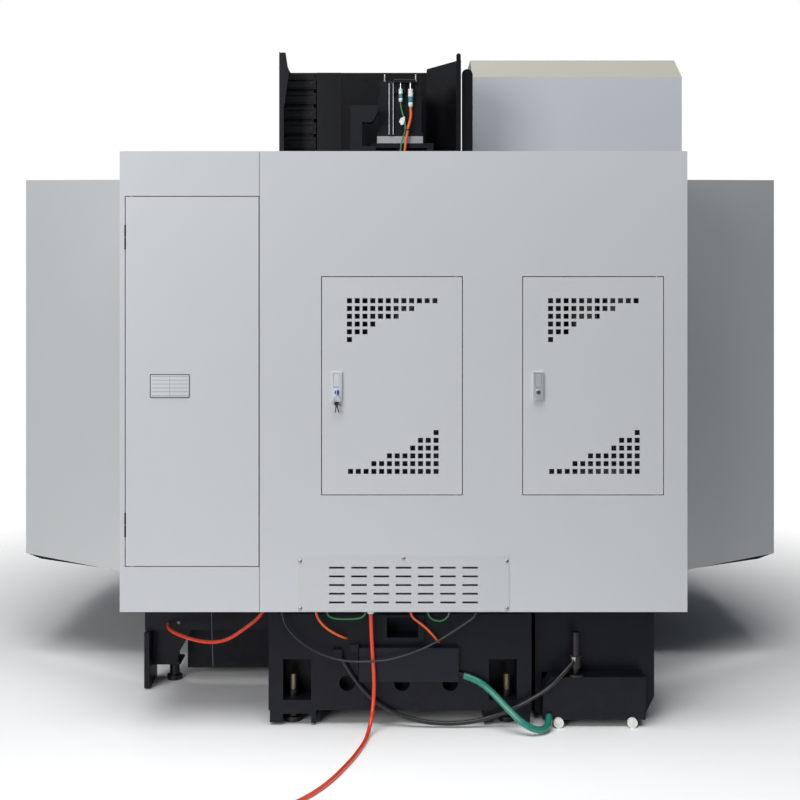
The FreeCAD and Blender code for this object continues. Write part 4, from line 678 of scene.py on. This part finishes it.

# %% [markdown]
# Some pieces carry two finishes in one body: a door holds its glass, a lock sits in its plate. Their faces are picked
# by where they lie and given a second slot.

# %% Second finishes
def second_finish(name, finish, *boxes):
    """Give the faces whose middle lies in one of the boxes another finish; each box is (low, high)."""
    piece = nodes[name]
    slot = len(piece.data.materials)
    piece.data.materials.append(MATERIALS[finish])
    count = 0
    for face in piece.data.polygons:
        middle = face.center
        if any(all(low[i] <= middle[i] <= high[i] for i in range(3)) for low, high in boxes):
            face.material_index = slot
            count += 1
    print(name, finish, "on", count, "faces")


FAR = 9.0
LOCK_LEFT, LOCK_RIGHT = -0.49, 0.224
PANE, HANDLE = (-1.1035, -1.0945, 1.16, 1.85), (-1.16, -1.1055, 1.24, 1.61)
for door, pane, handle in (("front_door_left", (-0.49, -0.09), (-0.036, -0.015)),
                           ("front_door_right", (0.09, 0.49), (0.015, 0.036))):
    for finish, (left, right), (front, rear, low, high) in (("safety_glass", pane, PANE),
                                                            ("black_plastic", handle, HANDLE)):
        second_finish(door, finish, ((left, front, low), (right, rear, high)))
for door, lock in (("vent_door_a", LOCK_RIGHT), ("vent_door_b", LOCK_LEFT)):
    second_finish(door, "satin_chrome", ((lock - 0.0176, 1.1602, 1.168), (lock + 0.0176, FAR, 1.272)))
second_finish("tall_door", "rating_plate", ((0.7455, 1.1602, 1.1785), (0.8885, FAR, 1.2645)))
second_finish("levelling_feet", "bare_stud", ((-FAR, -FAR, 0.113), (FAR, FAR, FAR)))
second_finish("control_panel", "control_screen", ((0.752, -1.156, 1.442), (1.048, -1.1, 1.688)))
second_finish("control_panel", "key_plastic", ((0.755, -1.16, 1.2), (1.045, -1.1551, 1.43)))
second_finish("z_motor_mount", "aluminium", ((-0.2, 0.1, 2.1751), (0.2, 0.37, 2.2051)))
second_finish("spindle_head", "milled", ((-FAR, -FAR, 1.7), (FAR, FAR, 1.7155)))
second_finish("table", "cast_iron", ((-FAR, -FAR, 0.0), (FAR, FAR, 0.842)))
second_finish("fixed_rails", "ground_z", ((-FAR, 0.19, 0.9), (FAR, FAR, FAR)))
# Only the top faces of the pump's nut are zinc. This band is painted glints on a black pump; the rest of the nut keeps
# the black finish.
second_finish("coolant_pump", "zinc", ((-FAR, 0.0, 0.237), (FAR, FAR, 0.2455)))
second_finish("magazine_cover", "chamfer_paint", ((-FAR, -0.105, 2.504), (FAR, 0.0599, 2.6045)))

# %% [markdown]
# The small parts that sheet metal carries are all turned or folded from a few outlines. One helper turns an outline
# about an axis, one extrudes a flat outline, and one joins many shapes into a single piece, so a row of screws is one
# object.

# %% Helpers for small parts
def piece_from(name, build, body, finish, bevel=0.0):
    """Build a mesh with `build`, put its finish on it and let it ride on a body."""
    mesh = bmesh.new()
    build(mesh)
    bmesh.ops.recalc_face_normals(mesh, faces=mesh.faces)
    data = bpy.data.meshes.new(name)
    mesh.to_mesh(data)
    mesh.free()
    finishes = [finish] if isinstance(finish, str) else finish
    for each in finishes:
        data.materials.append(MATERIALS[each])
    data.shade_smooth()
    data.set_sharp_from_angle(angle=math.radians(35))
    piece = bpy.data.objects.new(name, data)
    scene.collection.objects.link(piece)
    if bevel:
        fold(piece, bevel, 30)
    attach(piece, body)
    return piece


def joined(mesh, rings):
    """Join a list of rings of corners into a closed band, the last ring to the first."""
    for low, high in zip(rings, rings[1:] + rings[:1]):
        for i in range(len(low)):
            j = (i + 1) % len(low)
            mesh.faces.new((low[i], low[j], high[j], high[i]))


def turned(mesh, profile, place, axis=(0, 1, 0), sides=24, finish=0):
    """Turn (radius, height) pairs about an axis from a place; a radius of 0 closes an end."""
    turn = Vector(axis).to_track_quat("Z", "X").to_matrix().to_4x4()
    stand = Matrix.Translation(Vector(place)) @ turn
    rings = []
    for radius, height in profile:
        count = 1 if radius == 0 else sides
        rings.append([mesh.verts.new(stand @ Vector((radius * math.cos(2 * math.pi * i / sides),
                                                     radius * math.sin(2 * math.pi * i / sides), height)))
                      for i in range(count)])
    for low, high in zip(rings, rings[1:]):
        for i in range(sides):
            j = (i + 1) % sides
            corners = [low[i % len(low)], low[j % len(low)], high[j % len(high)], high[i % len(high)]]
            corners = [c for k, c in enumerate(corners) if c not in corners[:k]]
            if len(corners) > 2:
                mesh.faces.new(corners).material_index = finish


def extruded(mesh, outline, place, depth, axis="Y", finish=0):
    """Extrude a flat outline of (across, up) pairs; axis Y extrudes to the rear, X to the side, Z upward."""
    def at(across, up, deep):
        spot = {"Y": (across, deep, up), "X": (deep, across, up), "Z": (across, up, deep)}[axis]
        return mesh.verts.new(Vector(place) + Vector(spot))
    near = [at(a, u, 0.0) for a, u in outline]
    far = [at(a, u, depth) for a, u in outline]
    faces = [mesh.faces.new(near), mesh.faces.new(far[::-1])]
    for i in range(len(outline)):
        j = (i + 1) % len(outline)
        faces.append(mesh.faces.new((near[j], near[i], far[i], far[j])))
    for face in faces:
        face.material_index = finish


def rounded(width, height, radius, steps=5):
    """A rectangle's outline with round corners, centred."""
    outline = []
    for sx, sy, start in ((1, 1, 0), (-1, 1, 90), (-1, -1, 180), (1, -1, 270)):
        for i in range(steps + 1):
            angle = math.radians(start + 90 * i / steps)
            outline.append((sx * (width / 2 - radius) + radius * math.cos(angle),
                            sy * (height / 2 - radius) + radius * math.sin(angle)))
    return outline


def hexagon(across_flats, turn=0.0):
    radius = across_flats / math.sqrt(3)
    return [(radius * math.cos(math.radians(60 * i + turn)), radius * math.sin(math.radians(60 * i + turn)))
            for i in range(6)]


print("a 10 mm hexagon has corners at", [round(v, 1) for v in hexagon(10.0)[0]])

# %% [markdown]
# The vented plate low on the cabinet is held by pan-head cross screws. Their heads are turned domes; the cross is no
# real recess but a dark cross set flush into the top of each dome, painted shade where the recess would be.

# %% Cross-head screws on the vented plate
SCREWS = ((0.354, 0.6), (0.354, 0.432), (-0.0125, 0.61), (-0.379, 0.6), (-0.379, 0.432))
PLATE_FACE = 1.162
DOME = ((0.0, 0.0), (0.0069, 0.0), (0.0069, 0.0012), (0.0062, 0.0026), (0.0046, 0.0036), (0.0024, 0.0039),
        (0.0, 0.0040))


def cross_screws(mesh):
    for x, z in SCREWS:
        turned(mesh, DOME, (x, PLATE_FACE, z), sides=28)
        # The dark cross is painted shade in place of the recess.
        for wide, high in ((0.0064, 0.0012), (0.0012, 0.0064)):
            extruded(mesh, rounded(wide, high, 0.0004, 2), (x, PLATE_FACE + 0.003, z), 0.00095, finish=1)


screws = piece_from("vent_panel_screws", cross_screws, "frame", ["zinc", "black_steel"])
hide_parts("panel_screws")
print(screws.name, len(screws.data.polygons), "faces")

# %% [markdown]
# The rating plate is a thin sheet with a dark border pressed around it and a rivet in each corner. It stays blank but
# for its ruled lines.

# %% Rating plate border and rivets
PLATE_REAR = 1.1615


def plate_border(mesh):
    wide, high = PLATE_RIGHT - PLATE_LEFT, PLATE_HIGH - PLATE_LOW
    middle = ((PLATE_LEFT + PLATE_RIGHT) / 2, PLATE_REAR - 0.0002, (PLATE_LOW + PLATE_HIGH) / 2)
    outer, inner = rounded(wide - 0.001, high - 0.001, 0.004), rounded(wide - 0.0065, high - 0.0065, 0.002)
    thick = 0.0006
    joined(mesh, [[mesh.verts.new(Vector(middle) + Vector((a, d, u))) for a, u in line]
                  for line, d in ((outer, 0.0), (outer, thick), (inner, thick), (inner, 0.0))])
    for sx in (-1, 1):
        for sz in (-1, 1):
            place = (middle[0] + sx * (wide / 2 - 0.0085), PLATE_REAR - 0.0002, middle[2] + sz * (high / 2 - 0.0085))
            turned(mesh, ((0.0, 0.0), (0.0022, 0.0), (0.0018, 0.0009), (0.0, 0.0013)), place, sides=16, finish=1)


border = piece_from("rating_plate_border", plate_border, "tall_door", ["black_steel", "zinc"])
print(border.name, len(border.data.polygons), "faces")

# %% [markdown]
# Two keys hang on a ring from the left-hand lock. The ring is a bent wire, and each key has a bow with a hole, a
# plastic cap and a toothed blade. Each lock has a push button above the keyway, blue on the one with the keys.

# %% Keys, ring and lock buttons
KEY_PLACE = Vector((LOCK_RIGHT, 1.1765, 1.19))
RING_RADIUS = 0.011


def ring_wire(mesh):
    around, section = 40, 8
    rings = []
    for i in range(around):
        angle = 2 * math.pi * i / around
        way = Vector((math.cos(angle), 0.0, math.sin(angle)))
        middle = KEY_PLACE + Vector((0.0, 0.004, -RING_RADIUS)) + way * RING_RADIUS
        rings.append([mesh.verts.new(middle + way * 0.0008 * math.cos(t) + Vector((0, 1, 0)) * 0.0008 * math.sin(t))
                      for t in (2 * math.pi * k / section for k in range(section))])
    joined(mesh, rings)


def hanging_key(mesh, lean, front):
    """A key that hangs head up from the ring, leaning a little."""
    bow = [(0.009 * math.sin(a) * (1.0 if math.cos(a) > 0 else 0.8), 0.008 * math.cos(a))
           for a in (2 * math.pi * i / 20 for i in range(20))]
    blade = [(-0.0024, -0.007), (-0.0024, -0.031), (0.0, -0.0335), (0.0024, -0.031), (0.0018, -0.028),
             (0.0028, -0.0255), (0.0016, -0.022), (0.0028, -0.019), (0.0019, -0.015), (0.0028, -0.011),
             (0.0028, -0.007)]
    tilt = Matrix.Translation(KEY_PLACE + Vector((0.0, front, -0.03))) @ Matrix.Rotation(math.radians(lean), 4, "Y")
    start = len(mesh.verts)
    extruded(mesh, bow, (0, 0, 0), 0.0026, finish=1)
    extruded(mesh, blade, (0, 0.0006, 0), 0.0014, finish=0)
    mesh.verts.ensure_lookup_table()
    for vertex in mesh.verts[start:]:
        vertex.co = tilt @ vertex.co


def key_set(mesh):
    ring_wire(mesh)
    hanging_key(mesh, 14.0, 0.0025)
    hanging_key(mesh, -9.0, 0.0062)


keys = piece_from("keys", key_set, "vent_door_a", ["chrome", "black_plastic"], bevel=0.0003)


def lock_button(x):
    def build(mesh):
        turned(mesh, ((0.0, 0.0), (0.0082, 0.0), (0.0082, 0.0012), (0.0074, 0.0022), (0.0, 0.0024)),
               (x, 1.1735, 1.2), sides=28)
        extruded(mesh, rounded(0.0016, 0.0085, 0.0006, 2), (x, 1.1757, 1.2), 0.0006, finish=1)
    return build


for tag, x, body in (("a", LOCK_RIGHT, "vent_door_a"), ("b", LOCK_LEFT, "vent_door_b")):
    button = "blue_plastic" if tag == "a" else "chrome"
    piece_from("lock_button_" + tag, lock_button(x), body, [button, "black_steel"])
print("keys at", tuple(round(v, 3) for v in KEY_PLACE))

# %% [markdown]
# The motor that drives the head stands in the open top. Two plugs hang from a moulded housing on its rear: a metal
# collar, then white and blue bands, with a green cable below one and an orange cable below the other.

# %% Plugs on the vertical drive motor
MOTOR_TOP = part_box("z_motor")[1].z
MOTOR_REAR = 0.358
PLUG_Y = 0.381
PLUG_TOP = 2.424
PLUGS = {"green": (-0.0026, 0.0085, 0.080), "orange": (-0.044, 0.0105, 0.102)}


def plug_shape(x, wide, long):
    """A turned plug that hangs down: stem, white shell, blue grip, white cable gland."""
    stem = ((0.0, -0.004), (wide * 0.45, -0.004), (wide * 0.45, 0.024), (wide * 0.85, 0.025))
    shell = ((wide * 0.85, 0.025), (wide, 0.0265), (wide, 0.033), (wide * 0.93, 0.034), (wide * 0.93, 0.037),
             (wide, 0.038), (wide, long * 0.56), (wide * 0.9, long * 0.57))
    grip = [(wide * 0.9, long * 0.57)]
    for step in range(6):
        low = long * (0.58 + 0.035 * step)
        grip += [(wide * 0.94, low), (wide, low + long * 0.008), (wide, low + long * 0.02),
                 (wide * 0.94, low + long * 0.028)]
    gland = ((wide * 0.9, long * 0.8), (wide * 0.95, long * 0.81), (wide * 0.92, long * 0.93),
             (wide * 0.6, long * 0.99), (0.0, long))

    def build(mesh):
        for finish, profile in ((0, stem), (1, shell), (2, grip), (1, gland)):
            turned(mesh, profile, (x, PLUG_Y, PLUG_TOP), axis=(0, 0, -1), finish=finish)
    return build


for kind, (x, wide, long) in PLUGS.items():
    piece_from("motor_plug_" + kind, plug_shape(x, wide, long), "frame", ["chrome", "nylon_white", "teal_plastic"])


def plug_housing(mesh):
    extruded(mesh, rounded(0.092, 0.014, 0.004), (-0.019, MOTOR_REAR - 0.004, MOTOR_TOP - 0.005), 0.04)
    extruded(mesh, rounded(0.024, 0.226, 0.009), (0.037, MOTOR_REAR - 0.004, MOTOR_TOP - 0.118), 0.012)
    extruded(mesh, rounded(0.012, 0.216, 0.005), (0.037, MOTOR_REAR + 0.005, MOTOR_TOP - 0.118), 0.0065)


piece_from("motor_plug_housing", plug_housing, "frame", "motor_black", bevel=0.0015)


def motor_bolts(mesh):
    """Long corner bolts whose ends stand out of the motor's cover, each with a nut."""
    for x in (-0.066, 0.064):
        turned(mesh, ((0.0, 0.0), (0.0045, 0.0), (0.0045, 0.03), (0.0035, 0.032), (0.0, 0.0322)),
               (x, MOTOR_REAR - 0.02, MOTOR_TOP - 0.002), axis=(0, 0, 1), sides=16)
        extruded(mesh, hexagon(0.013), (x, MOTOR_REAR - 0.02, MOTOR_TOP - 0.002), 0.008, axis="Z")


piece_from("motor_corner_bolts", motor_bolts, "frame", "zinc")

# %% [markdown]
# The motor's cables drop side by side into the machine. A black tie binds them, and a white tag is wrapped around the
# green one.

# %% Motor cables
MOTOR_CABLES = {
    "motor_cable_green": (0.0032, [(-0.0026, 0.381, 2.345), (-0.003, 0.3812, 2.325), (-0.010, 0.383, 2.3),
                                   (-0.018, 0.386, 2.271), (-0.0225, 0.388, 2.25), (-0.021, 0.389, 2.219),
                                   (-0.013, 0.389, 2.195), (-0.005, 0.389, 2.172), (-0.0026, 0.389, 2.14),
                                   (-0.002, 0.389, 2.112), (-0.002, 0.389, 2.0895)]),
    "motor_cable_orange": (0.006, [(-0.044, 0.381, 2.323), (-0.0445, 0.3815, 2.308), (-0.046, 0.383, 2.29),
                                   (-0.041, 0.386, 2.261), (-0.033, 0.388, 2.235), (-0.0298, 0.39, 2.21),
                                   (-0.026, 0.39, 2.188), (-0.022, 0.39, 2.16), (-0.019, 0.39, 2.13),
                                   (-0.018, 0.39, 2.108), (-0.018, 0.39, 2.0895)]),
}
for name, (radius, route) in MOTOR_CABLES.items():
    cable = lay_cord(name, route, radius)
    cable.data.materials.append(MATERIALS["orange_cable" if "orange" in name else "green_cable"])


def oval_band(mesh, place, wide, deep, high, thick):
    """A band with straight sides and round ends, as a tie around two cables has."""
    turn = deep / 2.01
    outer, inner = rounded(wide, deep, turn, 8), rounded(wide - 2 * thick, deep - 2 * thick, turn - thick, 8)
    joined(mesh, [[mesh.verts.new(Vector(place) + Vector((a, b, z))) for a, b in line]
                  for line, z in ((outer, 0.0), (outer, high), (inner, high), (inner, 0.0))])


def black_tie(mesh):
    oval_band(mesh, (-0.0265, 0.389, 2.2265), 0.0245, 0.0145, 0.004, 0.0012)
    extruded(mesh, rounded(0.006, 0.0055, 0.001, 2), (-0.028, 0.3955, 2.2285), 0.004)


def white_tag(mesh):
    oval_band(mesh, (-0.0165, 0.3862, 2.266), 0.0095, 0.0095, 0.016, 0.0012)
    flag = [(-0.017, 2.282), (-0.0025, 2.276), (0.0035, 2.262), (-0.0045, 2.247), (-0.015, 2.251), (-0.0185, 2.266)]
    extruded(mesh, flag, (0, 0.3905, 0), 0.0011)


piece_from("motor_cable_tie", black_tie, "frame", "black_plastic")
piece_from("motor_cable_tag", white_tag, "frame", "white_tie")

# %% [markdown]
# The tall door shows the knuckles of its two lift-off hinges at its edge: turned barrels with a gap between the
# halves.

# %% Hinge knuckles on the tall door
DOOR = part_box("tall_door")


def knuckles(mesh):
    for low, high in ((1.706, 1.794), (0.684, 0.772)):
        middle = (low + high) / 2
        for start, end in ((low, middle - 0.0008), (middle + 0.0008, high)):
            turned(mesh, ((0.0, start), (0.0042, start), (0.005, start + 0.001), (0.005, end - 0.001), (0.0042, end),
                          (0.0, end)), (DOOR[1].x + 0.0016, 1.1562, 0.0), axis=(0, 0, 1), sides=20)


piece_from("hinge_knuckles", knuckles, "frame", "black_steel")
print("door edge at", round(DOOR[1].x, 4))

# %% [markdown]
# A fastener is only believable with its thread. The two levelling screws that show at the rear get a stack of small
# V-shaped rings over their plain shanks, which costs less than a true helix and looks the same at this size.

# %% Threads on the levelling screws
THREAD_PITCH = 0.003


def threads(mesh):
    for x, y, low, high, radius in ((0.388, 1.05, 0.114, 0.166, 0.0088), (-0.388, 1.05, 0.114, 0.166, 0.0088)):
        profile = []
        for i in range(int((high - low) / THREAD_PITCH)):
            z = low + i * THREAD_PITCH
            profile += [(radius * 0.9, z), (radius * 1.04, z + THREAD_PITCH * 0.5)]
        turned(mesh, profile, (x, y, 0.0), axis=(0, 0, 1), sides=20)


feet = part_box("levelling_feet")
piece_from("screw_threads", threads, "frame", "bare_stud")
print("feet from", round(feet[0].z, 3), "to", round(feet[1].z, 3))

# %% [markdown]
# Each tank wheel has a turned hub cap, so the end that faces the viewer isn't a blank disc.

# %% Hub caps on the tank's wheels
def hub_cap(x):
    def build(mesh):
        turned(mesh, ((0.0078, -0.0008), (0.0078, 0.0008), (0.006, 0.0014), (0.0024, 0.0016), (0.002, 0.001),
                      (0.0, 0.001)), (x, 1.1428, 0.018), sides=28)
    return build


for tag, x in (("a", -0.566), ("b", -0.829)):
    piece_from("hub_cap_" + tag, hub_cap(x), "wheelset_" + tag, "nylon_white")
print("hub caps fitted")

# %% [markdown]
# The drag chain's links have pressed ribs and a pin head at each joint. They go on as one piece over the plain links.

# %% Link pins and ribs on the cable chain
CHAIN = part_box("cable_chain")
CHAIN_PITCH, LINK_HEIGHT = 0.063, 0.048


def chain_details(mesh):
    links = round((CHAIN[1].z - CHAIN[0].z) / CHAIN_PITCH)
    middle = (CHAIN[0].x + CHAIN[1].x) / 2
    for i in range(links):
        low = CHAIN[0].z + i * CHAIN_PITCH
        for high, radius, up, deep in ((0.006, 0.0025, LINK_HEIGHT - 0.006, 0.0045), (0.004, 0.0018, 0.009, 0.003)):
            extruded(mesh, rounded(0.112, high, radius, 3), (middle, CHAIN[1].y - 0.0005, low + up), deep)
        for side in (-1, 1):
            turned(mesh, ((0.0, -0.0005), (0.006, -0.0005), (0.0055, 0.0022), (0.0, 0.003)),
                   (middle + side * 0.052, CHAIN[1].y, low + LINK_HEIGHT / 2), sides=16)


piece_from("chain_details", chain_details, "frame", "chain_black")
print("chain pitch", CHAIN_PITCH)

# %% [markdown]
# The emergency stop is a red mushroom on a yellow ring. On the panel's front, a bezel frames the screen, and the keys
# are capped in two colours; a rotary switch has a pointer line so that its setting can be read.

# %% Control panel fittings
def stop_ring(mesh):
    turned(mesh, ((0.0185, 0.0), (0.029, 0.0), (0.029, 0.0022), (0.027, 0.0032), (0.0185, 0.0034)),
           (1.03, -1.155, 1.12), axis=(0, -1, 0), sides=40)


piece_from("stop_ring", stop_ring, "frame", "yellow_plastic")


def knob_pointer(mesh):
    extruded(mesh, rounded(0.0024, 0.015, 0.0011, 3), (0.78, -1.1757, 1.1675), 0.0012)


piece_from("knob_pointer", knob_pointer, "override_knob", "nylon_white")


def knob_scale(mesh):
    for i in range(11):
        angle = math.radians(-120 + 24 * i)
        place = (0.78 + 0.0235 * math.sin(angle), -1.1556, 1.16 + 0.0235 * math.cos(angle))
        turned(mesh, ((0.0, 0.0), (0.0011, 0.0), (0.0009, 0.0005), (0.0, 0.0006)), place, axis=(0, -1, 0), sides=10)


piece_from("knob_scale", knob_scale, "frame", "nylon_white")


def screen_bezel(mesh):
    wide, high = 0.3, 0.25
    outer, inner = rounded(wide + 0.014, high + 0.014, 0.01), rounded(wide - 0.004, high - 0.004, 0.006)
    joined(mesh, [[mesh.verts.new(Vector((0.9 + a, y, 1.565 + u))) for a, u in line]
                  for line, y in ((outer, -1.1545), (outer, -1.157), (inner, -1.1565), (inner, -1.152))])


piece_from("screen_bezel", screen_bezel, "frame", "black_plastic")


def key_caps(mesh):
    """Square caps over the keys; the outer columns are a second colour."""
    for column in range(8):
        for row in range(5):
            x, z = 0.772 + column * 0.034, 1.242 + row * 0.034
            finish = 1 if column in (0, 7) else (2 if row == 0 and column in (3, 4) else 0)
            extruded(mesh, rounded(0.0205, 0.0205, 0.0035, 3), (x, -1.1589, z), 0.0035, finish=finish)


piece_from("key_caps", key_caps, "frame", ["key_plastic", "blue_plastic", "green_plastic"],
           bevel=0.0006)
print("control panel fitted")

# %% [markdown]
# The cabinet is two boxes side by side, so a dark joint runs the full height between them. A shallow seal stands in
# the gap, because a painted line would lie flat and catch no light.

# %% Joint between the two cabinets
SEAM_X, CABINET_REAR = 0.499, 1.16


def seam(mesh):
    extruded(mesh, rounded(0.0016, 1.628, 0.0004, 2), (SEAM_X, CABINET_REAR - 0.0004, 1.237), 0.0007)


piece_from("cabinet_seam", seam, "frame", "black_steel")

# %% [markdown]
# A duct runs down the motor's rear face, a glossy black channel. Its two bright edges are painted highlights:
# satin-chrome strips laid along them stand in for the light those edges catch.

# %% Painted highlights on the edges of the motor's wire duct
def duct_highlight_strips(mesh):
    # Each strip is a painted highlight along one edge of the duct.
    for x in (0.0455, 0.0285):
        extruded(mesh, rounded(0.0022, 0.214, 0.0009, 2), (x, MOTOR_REAR + 0.006, MOTOR_TOP - 0.118), 0.0026)


piece_from("motor_duct_highlight_strips", duct_highlight_strips, "frame", "satin_chrome")
print("seam and duct fitted")

# %% [markdown]
# Last, the view layer is brought up to date.

# %% The end
bpy.context.view_layer.update()
